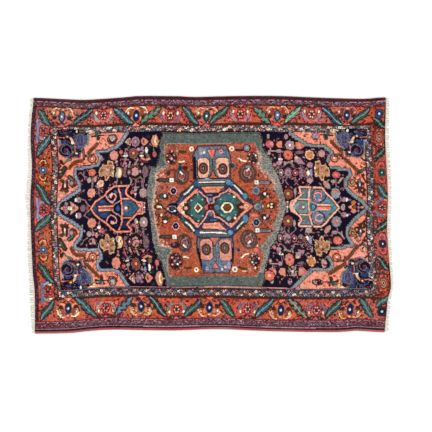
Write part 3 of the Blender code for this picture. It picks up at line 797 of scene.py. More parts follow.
# the pendants at both ends of the medallion
leftOutline = path("""
    -650,35 -625,72 -571,106 -565,122 -524,153 -444,153 -459,126 -458,108 -435,87 -394,58 -369,58 -367,-4
    -398,-5 -444,-51 -452,-66 -428,-92 -433,-102 -515,-102 -537,-84 -567,-52 -596,-31 -628,-1
""")
leftPendant = """
    fill blueDeep -641,37 -606,80 -578,84 -566,66 -545,53 -614,53 -616,12 -540,12 -562,-26 -592,-20 -624,6;
    blue -600,76 -580,80 -572,64 -600,60; blue -600,4 -562,4 -572,-24 -592,-14; dab tealGreen -628,36 7,14;
    fill ink -494,138 -455,138 -466,122 -466,105 -460,90 -482,90 -486,110;
    blueDeep -484,134 -472,134 -473,94 -480,94;
    ink -478,-35 -440,-35 -456,-58 -456,-70 -440,-86 -486,-86 -476,-60;
    blueDeep -470,-42 -458,-42 -462,-64 -460,-80 -476,-80 -468,-60; salmon -402,62 -368,60 -366,-5 -402,-8;
    maroon -473,77 -425,75 -379,27 -423,-23 -473,-23; blueHeart -472,72 -428,70 -385,27 -427,-18 -472,-18;
    tealGreen -440,48 -424,48 -400,26 -424,4 -440,4 -422,26;
    line maroon 13 -567,100 -558,82 -544,68 -532,63 -519,76 -511,95;
    pink 6.5 -567,100 -558,82 -544,68 -532,63 -519,76 -511,95 -518,109 -535,114 -545,104 -540,90;
    dab salmonPale -538,104 9,10; pink -533,65 11,8; maroon -527,97 7,7; blueHeart -514,121 12,7 -30;
    steel -553,95 5,8;
    line pink 6.5 -565,-42 -556,-20 -540,-8 -530,-12 -516,-21 -508,-38 -512,-52 -530,-58 -538,-43;
    dab salmonPale -532,-51 10,9; maroon -521,-38 6,8; ink -512,-68 14,6 20;
    fill maroon -613,51 -526,51 -526,11 -613,11; line salmonPale 6 -607,44 -528,42;
    orange 5 -604,39 -528,37; red 4 -606,33 -528,31; pink 5 -607,27 -528,25; gold 6 -604,19 -528,18;
    fill navy -527,28 -500,55 -480,28 -500,-1; blue -516,28 -500,46 -488,28 -500,8;
    line greyBeige 6 -530,44 -512,57 -500,63 -486,73; greyBeige 6 -530,11 -516,2 -500,-6 -486,-20;
    dab lilacPink -505,-5 8,6;
    line salmon 8 -500,146 -497,130 -490,112 -484,81 -478,30 -478,-5 -482,-24 -479,-47 -487,-70 -499,-95;
    salmon 8 -482,81 -430,80; salmon 8 -482,-27 -420,-27; dab mauve -456,27 19,22; maroon -448,30 9,14;
    lilacPink -456,27 11,11; white -457,27 7.5,7.5
"""
rightPendant = """
    fill tealDusk 497,148 556,148 575,148 620,150 644,119 676,90 702,58 716,39 694,13 667,-18 646,-47
    622,-66 575,-68 499,-66 496,-55 512,-37 504,-15 482,2 454,15 446,40 452,66 476,79 492,92 508,108;
    blueClear 620,60 632,100 650,98 672,64; tealBlue 660,62 676,72 702,40 676,10 664,28 676,40;
    tealBlue 606,24 664,20 656,-2 640,-16 626,0 606,8; dab mintDull 672,52 8,10; mintDull 668,22 9,6 40;
    mauve 634,4 10,4; fill steel 574,72 566,110 582,136 612,141 634,126 644,106 638,84 606,62;
    dab mauve 606,130 18,7; mauve 578,112 7,16;
    line umber 8 574,74 567,110 582,134 612,140 634,126 644,106 638,86 606,62;
    greyBeige 3 576,76 570,110 584,131 612,136 630,124;
    fill steel 572,8 565,-20 578,-50 604,-61 628,-50 642,-30 638,-4 604,20; dab mauve 602,-50 18,8;
    mauve 576,-18 7,18; line umber 8 572,6 566,-20 578,-48 604,-60 628,-49 641,-29 637,-4 604,20;
    greyBeige 3 574,4 570,-20 581,-46 604,-56 626,-46; dab khaki 638,-33 5,9;
    fill steel 503,136 552,136 545,112 545,88 508,88 516,104 526,116 512,124;
    tealDusk 520,130 544,130 538,112 538,96 526,96 532,116;
    line brown 4 503,137 551,137 547,112 546,90 509,89; maroon 11 496,114 522,114;
    petalPink 7 492,114 522,114; fill steel 515,-12 550,-12 556,-40 562,-58 512,-58 515,-48 540,-42 522,-30;
    dab khaki 528,-22 10,6; blueClear 545,-50 12,6; line brown 4 514,-11 548,-11 554,-38 560,-59 512,-59;
    maroon 11 504,-36 528,-36; petalPink 7 500,-36 528,-36;
    wine 13 617,98 617,116 600,121 583,117 578,104 582,90 592,78;
    pink 7 617,98 617,116 600,121 583,117 578,104 582,92; lilac 7 582,91 588,81 598,76; dab pink 609,80 9,6;
    blueClear 600,103 9,10; line pink 7 626,-5 610,1 596,-4 586,-18 592,-31 607,-38 622,-35 625,-26;
    dab tealDusk 606,-16 10,9; steel 604,-20 5,6; fill maroon 590,62 670,61 670,20 590,22;
    line salmonPale 9 596,54 664,54; rust 6 594,46 664,46; salmonDeep 10 594,38 667,38;
    pink 7 598,28 665,28; fill ink 558,42 574,65 598,42 574,14; blueClear 564,42 574,58 588,42 574,22;
    line greyBeige 6 556,72 572,66 592,56; greyBeige 6 556,8 572,12 594,26;
    fill umber 458,38 488,75 542,75 543,0 493,0; tealPale 462,38 490,71 538,71 541,58 541,10 536,4 495,4;
    dab sky 474,38 9,12; dusk 512,39 20,17; mauve 508,39 11,13; khaki 522,27 9,5; white 519,40 6.5,7;
    line salmonPale 8 556,146 551,130 549,95 551,78 548,60 548,40 550,26 556,9 554,-8 561,-25 566,-45
    574,-64; dab coral 552,78 9,10; coral 556,6 9,10; line salmonPale 8 476,81 550,82;
    salmonPale 8 484,-3 552,-4;
    ring salmonPale 9 497,148 556,148 620,150 644,119 676,90 702,58 716,39 694,13 667,-18 646,-47 622,-66
    575,-68 499,-66 496,-55 512,-37 504,-15 482,2 454,15 446,40 452,66 476,79 492,92 508,108 500,128;
    fill salmonPale 446,40 452,66 476,79 484,74 462,38 488,2 482,-2 452,14; dab umber 566,150 6,5;
    umber 572,-70 7,5
"""
fill("navy", leftOutline)
draw(leftPendant)
line("maroon", 15, leftOutline, True)
line("salmon", 9, leftOutline, True)
draw(rightPendant)
print("pendants woven")

# the teal band round the medallion
bandOuter = path("""
    -250,440 -250,430 -270,380 -262,350 -275,300 -292,260 -322,250 -333,200 -340,125 -335,60 -328,0
    -318,-60 -312,-150 -300,-200 -285,-240 -270,-260 -258,-320 -250,-405 270,-405 285,-370 290,-320
    305,-280 320,-240 330,-200 365,-150 385,-100 400,-50 418,0 420,40 418,60 400,130 378,200 352,250
    345,280 320,320 297,360 300,400 280,440
""")
bandInner = path("""
    -237,382 -239,340 -241,300 -236,274 -222,254 -250,242 -276,236 -291,220 -297,200 -293,165 -302,100
    -308,30 -297,-40 -284,-110 -278,-160 -274,-182 -228,-186 -211,-200 -212,-216 -224,-232 -235,-256
    -236,-290 -235,-338 -226,-350 244,-350 262,-320 280,-274 291,-245 292,-218 276,-194 296,-176 316,-142
    342,-118 358,-80 366,-40 382,0 388,45 382,85 362,130 362,165 352,186 330,210 304,236 280,256 275,272
    290,300 289,318 275,340 257,383
""")
bandRim = stepped(bandOuter + bandOuter[:1])
fill("bandTeal", bandRim)
line("bandGrey", 12, bandRim, True)
line("halo", 4, [(x * 1.012, y) for x, y in bandRim], True)
speckle(["bandGrey", "teal", "sage", "dusk", "tealDusk"], -345, 425, -405, 440, 0.3, 41, ["bandTeal"])
for box, share in [((255, 425, -330, 330), 0.8), ((-345, -200, -300, 260), 0.36)]:
    pale = ["bandPale", "bandGrey", "greyBeige", "greySage"]
    speckle(pale, *box, share, 42, ["bandTeal", "bandGrey", "teal", "dusk"])
line("greyBeige", 9, bandInner, True)
fill("ember", bandInner)
line("rust", 4, bandInner, True)
speckle(["emberPale", "brickDull", "rust", "red"], -300, 390, -350, 383, 0.2, 43, ["ember"])

ringFlowers = [  # x, y, rx, ry, the way its pale petal leans, and the dye beyond the petal
    (-155, 205, 40, 46, 1, "tealGreen"), (-139, -166, 38, 48, -1, "blueDeep"),
    (212, 220, 46, 50, -1, "grey"), (219, -147, 45, 50, 1, "greySage"),
]
clusters = [  # x, y, rx, ry, and where its pale dots stand: x, y and radius
    (-207, 306, 28, 36, [(5, 36, 6), (16, 14, 6), (-22, 12, 5), (15, -16, 6), (-19, -22, 5), (0, -4, 7)]),
    (-192, -268, 36, 46, [(-5, 1, 6), (14, 17, 5), (-20, 21, 6), (4, 36, 6), (10, -15, 6), (-20, -18, 5),
                          (24, -38, 6), (22, -6, 5)]),
    (242, 303, 28, 32, [(-15, 19, 5), (-27, 0, 6), (-17, -18, 5), (5, -26, 5), (18, 15, 6), (8, 24, 5),
                        (23, 1, 6)]),
    (243, -260, 28, 38, [(-8, 35, 6), (7, 32, 5), (-13, 22, 6), (-25, 2, 6), (-14, -13, 6), (7, -18, 5),
                         (-8, -27, 6), (25, 9, 7)]),
]
dotDyes = ("pink", "greyBeige", "salmonPale", "lilacPink", "white")
medallion = """
    dab umber -244,92 21,17; umber -262,92 14,15; umber -278,34 25,19; umber -286,66 12,14;
    umber -288,-2 12,14; umber -240,-38 18,24; umber -264,-14 13,13; umber 304,100 24,18;
    umber 308,-22 24,18; umber 340,42 26,20; umber 290,82 11,11; brown -178,357 12,9; salmon -176,358 4,4;
    greyBeige -173,345 7,6; line khakiDark 12 -160,340 -126,340; brown 5 -156,332 -134,330;
    cream 8 -166,283 -150,284 -138,288; dab umber -161,272 9,6;
    fill tealGreen -172,264 -152,264 -152,236 -176,236; ink -167,258 -154,258 -154,240 -170,240;
    dab maroon -134,250 15,12; umber -227,220 11,14; line wine 9 -222,238 -180,236;
    brown 4 -274,222 -262,222; dab salmonPale -255,214 5,5; salmon -268,208 8,10; rose -246,200 8,9;
    maroon -98,240 5,7; line maroon 12 152,348 190,348; blank grey 214,358 16,17; dab mint 215,360 4,4;
    red 250,350 12,14; line cream 8 168,301 180,290 204,284; dab tealGreen 130,260 12,14;
    greenDark 126,256 6,8; mauve 148,262 8,9; maroon 156,262 5,6; maroon 271,207 6,9;
    line salmonPale 3 306,194 306,208; salmonPale 3 314,194 314,208; maroon 4 -244,-148 -244,-174;
    dab pink -236,-166 6,5; pink -252,-158 6,5; red -222,-150 8,6; maroon -190,-178 28,18;
    mauve -198,-172 7,10; red -113,-216 9,7; line cream 9 -148,-243 -134,-244 -122,-248;
    khaki 8 -136,-282 -144,-266; khakiDark 11 -148,-306 -114,-305; dab mauve 146,-205 12,8;
    plumDark 158,-208 8,9; line cream 8 173,-250 188,-233 211,-226; khakiDark 11 164,-311 196,-311;
    dab salmonPale 182,-324 11,4; greyBeige 213,-313 8,9; coral 253,-207 14,12; white 244,-304 4,6;
    maroon 276,-146 6,9; white 262,-182 4,6; red -192,80 11,9; white -243,95 7,9; greenDark -230,82 8,6;
    white -240,-48 9,8; khakiDark -240,-26 12,9; red 245,92 26,7; coral 252,-14 22,7; khakiDark 290,82 7,7;
    white 306,106 7,9; greenDark 296,100 5,9; pink 322,92 6,8; white 307,-27 7,8; greenDark 297,-22 6,10;
    lilac 322,-14 7,8; cream 344,50 6,6; cream 344,34 6,6; maroon 358,42 5,12; gold 326,42 6,9;
    gold -282,34 7,9; cream -272,34 8,5; white -262,30 4,6; rust -290,62 8,10; gold -286,68 5,6;
    rust -288,0 8,10; tealGreen -262,92 8,12 -40; cream -262,-12 6,8; umber 268,35 36,33 greySage 33,30;
    ring dusk 4 248,52 270,60 292,44 292,22 268,10 248,18; dab tealDusk 272,34 12,10; pink 296,38 5,6;
    greyBeige 252,36 6,8
"""


def weaveMedallion():
    for x, y, rx, ry, lean, beyond in ringFlowers:
        out = 1 if y > 0 else -1
        rings = [("umber", 1.08), ("brown", 1.0), ("umber", 0.9), ("dusk", 0.82), ("umber", 0.68),
                 ("brown", 0.58), ("lilacPink", 0.44), ("maroon", 0.34), ("rust", 0.26)]
        rosette(x, y, rx, rings, 0, ry / rx)
        box = (x - rx * 0.7, x + rx * 0.7, y - ry * 0.8, y + ry * 0.7)
        flecks = ["greyBeige", "khaki", "plumDark", "lilacPink", "umber"]
        speckle(flecks, *box, 0.16, 44, ["mauve", "umber", "maroon"])
        draw("beyond -4,36 13,7; khakiDark -2,-30 14,9", (x, y), (lean, out), beyond=beyond)
        draw("greyBeige 8,-26 5,5", (x, y), (1, out))
        draw("line umber 13 -7,24 6,12; white 9 -6,23 5,12", (x, y), (lean, out))
    for x, y, rx, ry, dots in clusters:
        for dye, more in [("brown", 5), ("maroon", 1), ("halo", -7)]:
            dab(dye, x, y, rx + more, ry + more)
        box = (x - rx, x + rx, y - ry, y + ry)
        speckle(["ember", "brown", "halo", "dusk"], *box, 0.3, 46, ["brown", "maroon"])
        draw("khaki -3,0 12,13; plumDark 2,-2 9,9", (x, y))
        box = (x - rx * 0.6, x + rx * 0.6, y - ry * 0.7, y + ry * 0.7)
        speckle(["mauve", "dusk", "wine"], *box, 0.25, 45, ["halo"])
        for k, (u, v, size) in enumerate(dots):
            dab(dotDyes[k % 5], x + u, y + v, size * 0.9, size * 0.9)
    draw(medallion)
    for x, y, radius in [(-93, 357, 13), (130, 355, 14), (-82, -316, 14), (130, -316, 16)]:  # pale ones
        rosette(x, y, radius, [("brown", 1.25), ("cream", 1.0), ("salmonPale", 0.5), ("umber", 0.3)], 6)
    for x, y in [(-209, 181), (-193, -133), (260, 168), (268, -98)]:  # pale squares with a dark bar beyond
        away = 1 if x > 0 else -1
        bar = "line umber 24 20,0 66,0; barDye 15 20,0 66,0; dusk 5 20,0 66,0; fill umber 76,-11 76,11 88,0"
        draw(bar, (x, y), (away, 1), barDye="khakiDark" if away < 0 else "grey")
        for dye, half in [("umber", 15), ("white", 11.5), ("grey", 3)]:
            draw("fill square -1,-1 -1,1 1,1 1,-1", (x, y), (half, half), square=dye)
    for x, y, radius, ring, heart in [(-197, 122, 17, "pink", "navy"), (-183, -73, 17, "pink", "navy"),
                                      (258, 122, 17, "grey", "steel"), (262, -52, 18, "greyBeige", "ink")]:
        rings = [("maroon", 1.35), (ring, 1.18), (heart, 0.9), ("navy", 0.5), ("steel", 0.3)]
        rosette(x, y, radius, rings, 6, 1.1)


brickGround = ["ember", "brickDull", "emberPale"]
crumbs(["brown", "maroon", "rust", "umber", "orange", "mauve"], -300, 390, -350, 383, 460, 71,
       brickGround)
for box, seed in [((-300, -165, -70, 150), 81), ((225, 380, -70, 150), 82)]:
    crumbs(["umber", "maroon", "khakiDark", "dusk", "brown"], *box, 130, seed, brickGround)
speckle(["rust", "brickDull", "brown"], -300, -60, 190, 383, 0.2, 86, ["ember", "emberPale"])
speckle(["rust", "brickDull"], 130, 300, -345, -190, 0.2, 87, ["ember", "emberPale"])
leftEdge = bandInner[7:17]
rightEdge = bandInner[38:48]
line("salmonDeep", 7, leftEdge)
line("salmonDeep", 6, rightEdge)
speckle(["salmonPale", "petalPink", "greyBeige", "brickDull"], -320, 395, -200, 250, 0.4, 72, ["salmonDeep"])
for edge, seed in [(leftEdge, 91), (rightEdge, 92)]:  # the brick ground runs into the band without a line
    paler = ["greyBeige", "petalPink", "salmonPale", "bandPale"]
    blend(edge, 9, paler, [*brickGround, "salmonDeep"], 260, seed)
    bandGround = ["bandTeal", "bandGrey", "teal", "dusk", "salmonDeep"]
    blend(edge, 8, ["greyBeige", "bandPale", "salmonDeep"], bandGround, 160, seed + 2)
blend(bandInner, 6, ["greyBeige", "bandPale", "ember"], ["bandTeal", "bandGrey"], 420, 93)
blend(bandInner, 6, ["greyBeige", "emberPale", "bandTeal"], ["ember", "rust"], 420, 94)
weaveMedallion()
longBand("maroon", -470, 455, -416, -407)
longBand("lilacPink", -460, 445, -411, -408)
print("medallion woven")

# the frames and the middle of the medallion
upperFrame = path("""
    -88,190 -88,320 -58,374 100,374 122,310 116,190
""")
lowerFrame = path("""
    -66,-136 -72,-200 -54,-300 -40,-337 96,-337 124,-270 132,-200 127,-136
""")
middleBand = path("""
    -238,25 -215,50 -182,57 -166,82 -157,108 -134,128 -100,151 -84,176 -70,192 112,192 124,176 155,151
    188,124 211,105 214,82 236,60 246,36 222,6 218,-28 212,-54 188,-74 158,-102 132,-128 122,-140
    -58,-140 -70,-124 -97,-98 -131,-68 -149,-42 -178,-9 -214,-4
""")


def cartouche(xLow, xHigh, yLow, yHigh, ovalX, ovalY, body, heart, cut=14):  # a pale panel, its corners cut
    sides = [(xLow, yLow + cut), (xLow, yHigh - cut), (xLow + cut, yHigh), (xHigh - cut, yHigh)]
    shape = sides + [(xHigh, yHigh - cut), (xHigh, yLow + cut), (xHigh - cut, yLow), (xLow + cut, yLow)]
    fill(body, shape)
    line("umber", 4, shape, True)
    line("salmon", 3, [(xLow + 5, yLow + 16), (xLow + 5, yHigh - 16)])
    ovals = "brown 0,0 28,34 umber 24,30 brown 18,24 dusk 15,20 heart 11,15 grey 5,8"
    draw(ovals, (ovalX, ovalY), heart=heart)


for outline, dye, inner in [(upperFrame, "steel", "dusk"), (lowerFrame, "steel", "dusk"),
                            (middleBand, "blueDeep", "tealDusk")]:
    fill(dye, outline)
    low, high, bottom, top = around(outline, 0)
    midX, midY = (low + high) / 2, (top + bottom) / 2
    shrunk = [(midX + (x - midX) * 0.9, midY + (y - midY) * 0.93) for x, y in outline]
    line("umber", 7, outline, True)
    line(inner, 4, shrunk, True)
speckle(["dusk", "greySage", "blueDeep", "greySky"], -90, 130, 190, 372, 0.3, 46, ["steel"])
speckle(["dusk", "greySage", "blueDeep", "blueHeart"], -72, 132, -336, -140, 0.3, 47, ["steel"])
draw("""
    line navy 13 -80,310 -80,196; dusk 8 113,306 108,196; navy 9 -66,-196 -50,-292;
    navy 9 126,-200 116,-272; dab blueHeart -36,-306 14,20; lilac 100,-294 10,22; greySky -36,345 20,16;
    dusk 70,350 24,12
""")
cartouche(-66, 2, 195, 305, -33, 248, "salmonPale", "navy")
cartouche(38, 110, 195, 308, 75, 242, "salmonPale", "maroon")
cartouche(-54, 14, -268, -146, -20, -205, "petal", "khakiDark")
cartouche(50, 120, -270, -148, 82, -198, "petal", "khakiDark")
draw("""
    fill wine -6,354 46,354 36,322 19,298 4,322; coral 2,350 38,350 30,325 19,306 9,325;
    line gold 4 0,350 9,322 19,304; greenDark 12 sage 6 9,298 8,240 -2,206;
    greenDark 12 sage 6 32,298 32,240 42,206; umber 7 21,296 21,238;
    fill maroon -10,188 50,188 36,206 21,244 6,206; brickDull -3,193 43,193 30,206 20,232 11,206;
    dab sky -13,188 14,5; pink 70,340 10,12; brown 70,339 4,5; pink -44,334 8,8; white -24,336 6,7;
    teal 95,330 7,12; fill maroon 4,-314 50,-314 36,-288 27,-268 18,-288;
    coral 11,-310 43,-310 32,-290 27,-276 20,-290; line greenDark 11 sage 6 27,-270 26,-150;
    fill maroon -4,-138 60,-138 42,-164 27,-196 13,-164; brickDull 4,-142 52,-142 37,-164 27,-184 18,-164;
    dab pink -22,-312 9,10 brown 4,4; pink 80,-304 9,9; white 61,-316 7,7; teal 4,-290 7,7
""")

# the blue hexagon and the double diamond within it
middle = """
    fill navy -236,25 -213,50 -176,56 -172,25 -176,-6 -213,-4;
    line lilac 5 -228,22 -222,34 -206,38 -188,37 -184,28; lilac 5 -226,20 -214,9 -200,6 -186,12;
    dab pink -227,24 6,7; white -188,12 6,6; tealGreen -202,24 9,8;
    line greenDark 24 greySage 14 -138,103 -116,119 -92,150; white 6 -136,104 -118,116 -92,148;
    dab plumDark -162,-12 10,14; tealGreen -140,-44 14,14;
    line greenDark 24 greySage 14 -128,-50 -105,-68 -84,-97; white 6 -127,-51 -106,-67 -83,-97;
    greenDark 22 greySage 13 136,152 160,130 182,104; white 6 138,152 160,130 181,106;
    greenDark 22 greySage 13 188,-52 168,-72 154,-90; cream 6 188,-52 168,-71 155,-88;
    fill bandTeal -62,182 90,182 90,146 -62,146; line greenDark 4 -62,162 88,162; greySky 5 -60,183 88,182;
    umber 13 white 7.5 -60,171 0,170 84,171; fill bandTeal -50,-88 95,-94 98,-134 -54,-134;
    line umber 14 white 8 -48,-110 70,-113 94,-118; blueHeart 6 -46,-126 40,-126;
    dab blueHeart -72,165 13,14; blueClear 106,168 14,15; tealBlue 122,160 9,12; tealBlue 198,92 14,16;
    tealBlue 202,-34 14,23; blueHeart -65,-112 12,17; blueClear 118,-112 13,14; tealDusk 104,-124 9,9;
    fill umber -176,25 -135,84 -70,142 -30,104 0,92 60,112 108,144 176,86 244,36 206,-2 160,-52 120,-92
    40,-34 0,-10 -20,-32 -62,-92 -135,-28;
    tealGreen -115,60 -95,76 -80,97 -62,108 -45,102 -30,78 -16,58 -28,46 -18,8 -28,-8 -40,-38 -58,-48
    -76,-40 -92,-22 -108,-6 -118,5 -100,28;
    teal -100,62 -66,96 -46,92 -34,70 -60,62 -90,30 -62,-8 -36,-12 -54,-40 -84,-20 -104,6 -94,28;
    tealGreen 35,60 60,92 90,114 120,106 152,86 176,58 158,48 148,36 162,18 160,2 146,-14 128,-34 108,-52
    88,-40 72,-24 56,-10 40,2 28,20 28,40; teal 46,66 80,98 118,96 148,74 140,50 120,66 80,64 56,44;
    teal 44,8 84,-8 126,0 150,12 134,-18 108,-40 74,-18; dab steel 43,28 13,16; khaki 160,55 11,7;
    mintDull 84,-20 8,7; greySky 110,-33 12,12; tealDusk 140,0 12,9; umber 160,28 9,12;
    line maroon 20 -172,25 -157,45 -140,64 -112,88 -91,107 -69,131;
    salmon 13 -170,25 -157,45 -140,64 -112,88 -91,107 -69,129;
    salmon 13 -170,25 -157,8 -140,-6 -127,-18 -105,-29 -89,-47 -64,-76;
    fill salmon -90,108 -69,136 -48,114 -64,110; salmon -84,-52 -63,-84 -43,-60 -60,-56;
    line maroon 14 -60,122 -45,112 -30,95 -12,84 -8,66 2,50 25,52;
    pink 8 -60,122 -45,112 -30,95 -12,84 -8,66 0,51 24,54;
    maroon 14 -52,-68 -43,-60 -28,-41 -17,-25 -8,0 0,9 24,8;
    pink 8 -52,-68 -43,-60 -28,-41 -17,-25 -8,0 0,9 22,8; fill gold -164,25 -146,46 -146,4;
    dab ochre -150,26 5,9; line cream 8 -150,50 -141,58 -142,44; cream 8 -150,2 -140,-4 -140,8;
    dab pink -128,27 10,10; maroon -124,45 7,5; maroon -124,8 7,5; salmon -128,62 7,7;
    line maroon 20 110,129 150,102 172,76 190,58 206,54 237,35;
    salmon 13 108,127 150,102 172,76 190,58 206,52 235,35;
    salmon 13 235,35 203,9 188,-4 165,-29 150,-50 121,-78; fill salmon 96,120 110,136 142,112 118,112;
    salmon 104,-62 121,-86 150,-58 124,-58; sienna 190,52 216,50 232,35 206,14 190,18;
    salmonPale 196,46 212,46 222,35 206,20 194,26; dab ochre 208,36 5,6;
    line maroon 14 pink 8 104,126 88,113 60,102 55,90 24,81 26,57 14,52;
    maroon 14 pink 8 110,-72 98,-60 76,-43 56,-29 31,-25 30,-6 20,8; dab pink 180,31 11,7;
    maroon 172,44 7,5; maroon 172,18 7,5; fill cream -62,58 -32,28 -62,0 -84,27;
    umber -62,49 -42,28 -62,9 -76,27; brown -62,44 -46,28 -62,14 -72,27;
    cream 62,28 82,57 116,57 132,40 134,22 118,0 86,-3; umber 74,28 88,48 112,48 123,36 124,24 113,8 89,6;
    brown 80,28 90,44 110,44 118,34 118,25 110,12 91,11; maroon -30,30 -18,52 -4,50 -4,12 -18,10;
    rose -26,30 -17,46 -8,46 -8,16 -17,15; dab maroon 8,30 11,14; red 10,30 5,6; steel 4,72 12,11;
    greySky 8,74 5,6; steel 10,-8 12,11; dusk 6,-10 6,6; fill umber -54,150 94,150 54,106 -26,106;
    salmon -46,145 86,145 50,112 -20,112; line sienna 8 -20,130 46,128; salmonPale 4 -38,142 76,142;
    dab dusk 72,128 12,8; line ink 12 -16,98 44,98; blueClear 6 -10,98 16,97;
    fill umber -36,-54 60,-50 102,-100 -46,-90; salmon -28,-60 58,-56 94,-97 -38,-86;
    line sienna 8 -16,-72 56,-72; ink 12 0,-42 50,-43; tealDusk 6 8,-42 44,-43; dab dusk 72,-66 10,6;
    line ink 5 -44,-92 84,-97
"""
draw(middle)
draw("""
    mint -62,103 4,4; mint -98,71 5,5; mint -37,74 5,5; mint -95,-13 5,5; mint -57,-45 5,5; mint -34,-18 5,5;
    mint 64,73 5,5; cream 138,88 7,7; mint 110,103 4,4; mint 70,-15 5,5; cream 145,-31 7,7; mint 148,-12 4,4
""")
speckle(["ink", "blueHeart", "plumDark"], -230, 240, -135, 190, 0.3, 48, ["blueDeep"])
speckle(["salmonPale", "salmonDeep", "pink"], -175, 240, -100, 150, 0.3, 49, ["salmon"])
speckle(["tealGreen", "tealDusk", "blueHeart"], -120, 180, -55, 110, 0.25, 50, ["teal"])
edgeKnots("ember", "rust", 0.5, 90)
edgeKnots("brick", "red", 0.5, 51)
edgeKnots("salmon", "salmonDeep", 0.6, 52)
edgeKnots("navy", "navyBlack", 0.5, 53)
print("chart finished:", len(dyeColours), "dyes,", chart.size, "knots")

# where the knots lie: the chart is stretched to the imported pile's uneven rim
def rimSides(node):  # the four sides of a solid's footprint, each in order along its own length
    corners = np.array([v.co[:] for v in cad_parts[node].data.vertices]) / mm
    ground = np.unique(np.round(corners[corners[:, 2] < 0.1][:, :2], 2), axis=0)
    ring = ground[np.argsort(np.arctan2(ground[:, 1], ground[:, 0]))]
    ring = np.roll(ring, -int(np.argmin(ring.sum(1))), axis=0)  # starts at the near left corner
    rightNear = int(np.argmax(ring[:, 0] - ring[:, 1]))
    rightFar = int(np.argmax(ring.sum(1)))
    leftFar = int(np.argmin(ring[:, 0] - ring[:, 1]))
    return {
        "near": ring[: rightNear + 1],
        "right": ring[rightNear : rightFar + 1],
        "far": ring[rightFar : leftFar + 1][::-1],
        "left": np.vstack([ring[leftFar:], ring[:1]])[::-1],
    }


rim = rimSides("pile_carpet")


def pilePoint(shareAlong, shareAcross):
    x = (2 * shareAlong - 1) * chartPlan["halfLength"]
    for _ in range(4):  # each end bends with y and each side with x, so the two are settled in turn
        low = np.interp(x, rim["near"][:, 0], rim["near"][:, 1])
        high = np.interp(x, rim["far"][:, 0], rim["far"][:, 1])
        y = low + (high - low) * shareAcross
        start = np.interp(y, rim["left"][:, 1], rim["left"][:, 0])
        end = np.interp(y, rim["right"][:, 1], rim["right"][:, 0])
        x = start + (end - start) * shareAlong
    return x, y


pile = {
    "height": 9.0,
    "edgeRun": [0.0, 2.5, 8.0],  # from the pile's edge inwards
    "edgeHeight": [0.62, 0.92, 1.0],  # share of the height there
    "swell": 0.7,  # slow rise and fall of a walked-on rug
    "swellLength": 420.0,
    "tuftUneven": 0.22,  # knots clipped a little higher or lower
    "settleRun": 12.0,  # how far in from the edge the swell and the unevenness are full
    "skirtFoot": 0.9,
    "endTooth": 2.2,  # the last knots at an end step in and out
    "endToothPitch": 25.0,
    "endToothRun": 30.0,
    "panels": ("pile_left", "pile_middle", "pile_right"),
    "toneReach": 2,  # how many tufts are light or dark together
    "seed": 7,
}


def swellAt(x, y):
    turn = math.tau / pile["swellLength"]
    wave = np.sin(x * turn + 0.8) * np.cos(y * turn)
    fade = (1 - (x / chartPlan["halfLength"]) ** 4) * (1 - (y / chartPlan["halfWidth"]) ** 4)
    return pile["swell"] * wave * np.clip(fade, 0, 1)


def screenToLinear(colour):
    share = np.asarray(colour, float) / 255
    return np.where(share <= 0.04045, share / 12.92, ((share + 0.055) / 1.055) ** 2.4)


dyeTable = screenToLinear(list(dyeColours.values()))


def addToScene(name, data):
    thing = bpy.data.objects.new(name, data)
    bpy.context.scene.collection.objects.link(thing)
    return thing


def newPiece(name, points, faces):  # points in millimetres
    mesh = bpy.data.meshes.new(name)
    mesh.from_pydata(points * mm, [], faces)
    mesh.shade_smooth()
    return addToScene(name, mesh)


uvMargin = 0.002  # kept clear along the rim of the texture space


def gridMesh(name, x, y, z, colours, tones, faceDown=False):  # a square for each knot, in its own dye
    rows, cols = x.shape
    corner = np.arange(rows * cols).reshape(rows, cols)
    quads = np.stack([corner[:-1, :-1], corner[:-1, 1:], corner[1:, 1:], corner[1:, :-1]], -1).reshape(-1, 4)
    if faceDown:
        quads = quads[:, ::-1]
    thing = newPiece(name, np.stack([x, y, z], -1).reshape(-1, 3), quads)
    dye = thing.data.attributes.new("dye", "FLOAT_COLOR", "CORNER")
    painted = np.ones((len(quads), 4, 4), np.float32)
    painted[:, :, :3] = colours.reshape(-1, 1, 3)
    dye.data.foreach_set("color", painted.ravel())
    tuft = thing.data.attributes.new("tuft", "FLOAT", "FACE")
    tuft.data.foreach_set("value", tones.astype(np.float32).ravel())
    layer = thing.data.uv_layers.new(name="OFBake")
    u, v = np.meshgrid(*(np.linspace(uvMargin, 1 - uvMargin, count) for count in (cols, rows)))
    flat = np.stack([u, v], -1).reshape(-1, 2)[quads.ravel()]
    layer.data.foreach_set("uv", flat.astype(np.float32).ravel())
    return thing


def unevenTones(random, shape, reach):  # tufts lighter or darker, alone and a few together
    alone = random.normal(0, 1, shape)
    together = random.normal(0, 1, shape)
    for _ in range(reach):
        for axis in (0, 1):
            together = (together + np.roll(together, 1, axis)) / 2
    return 0.55 * alone + 0.8 * together / together.std()


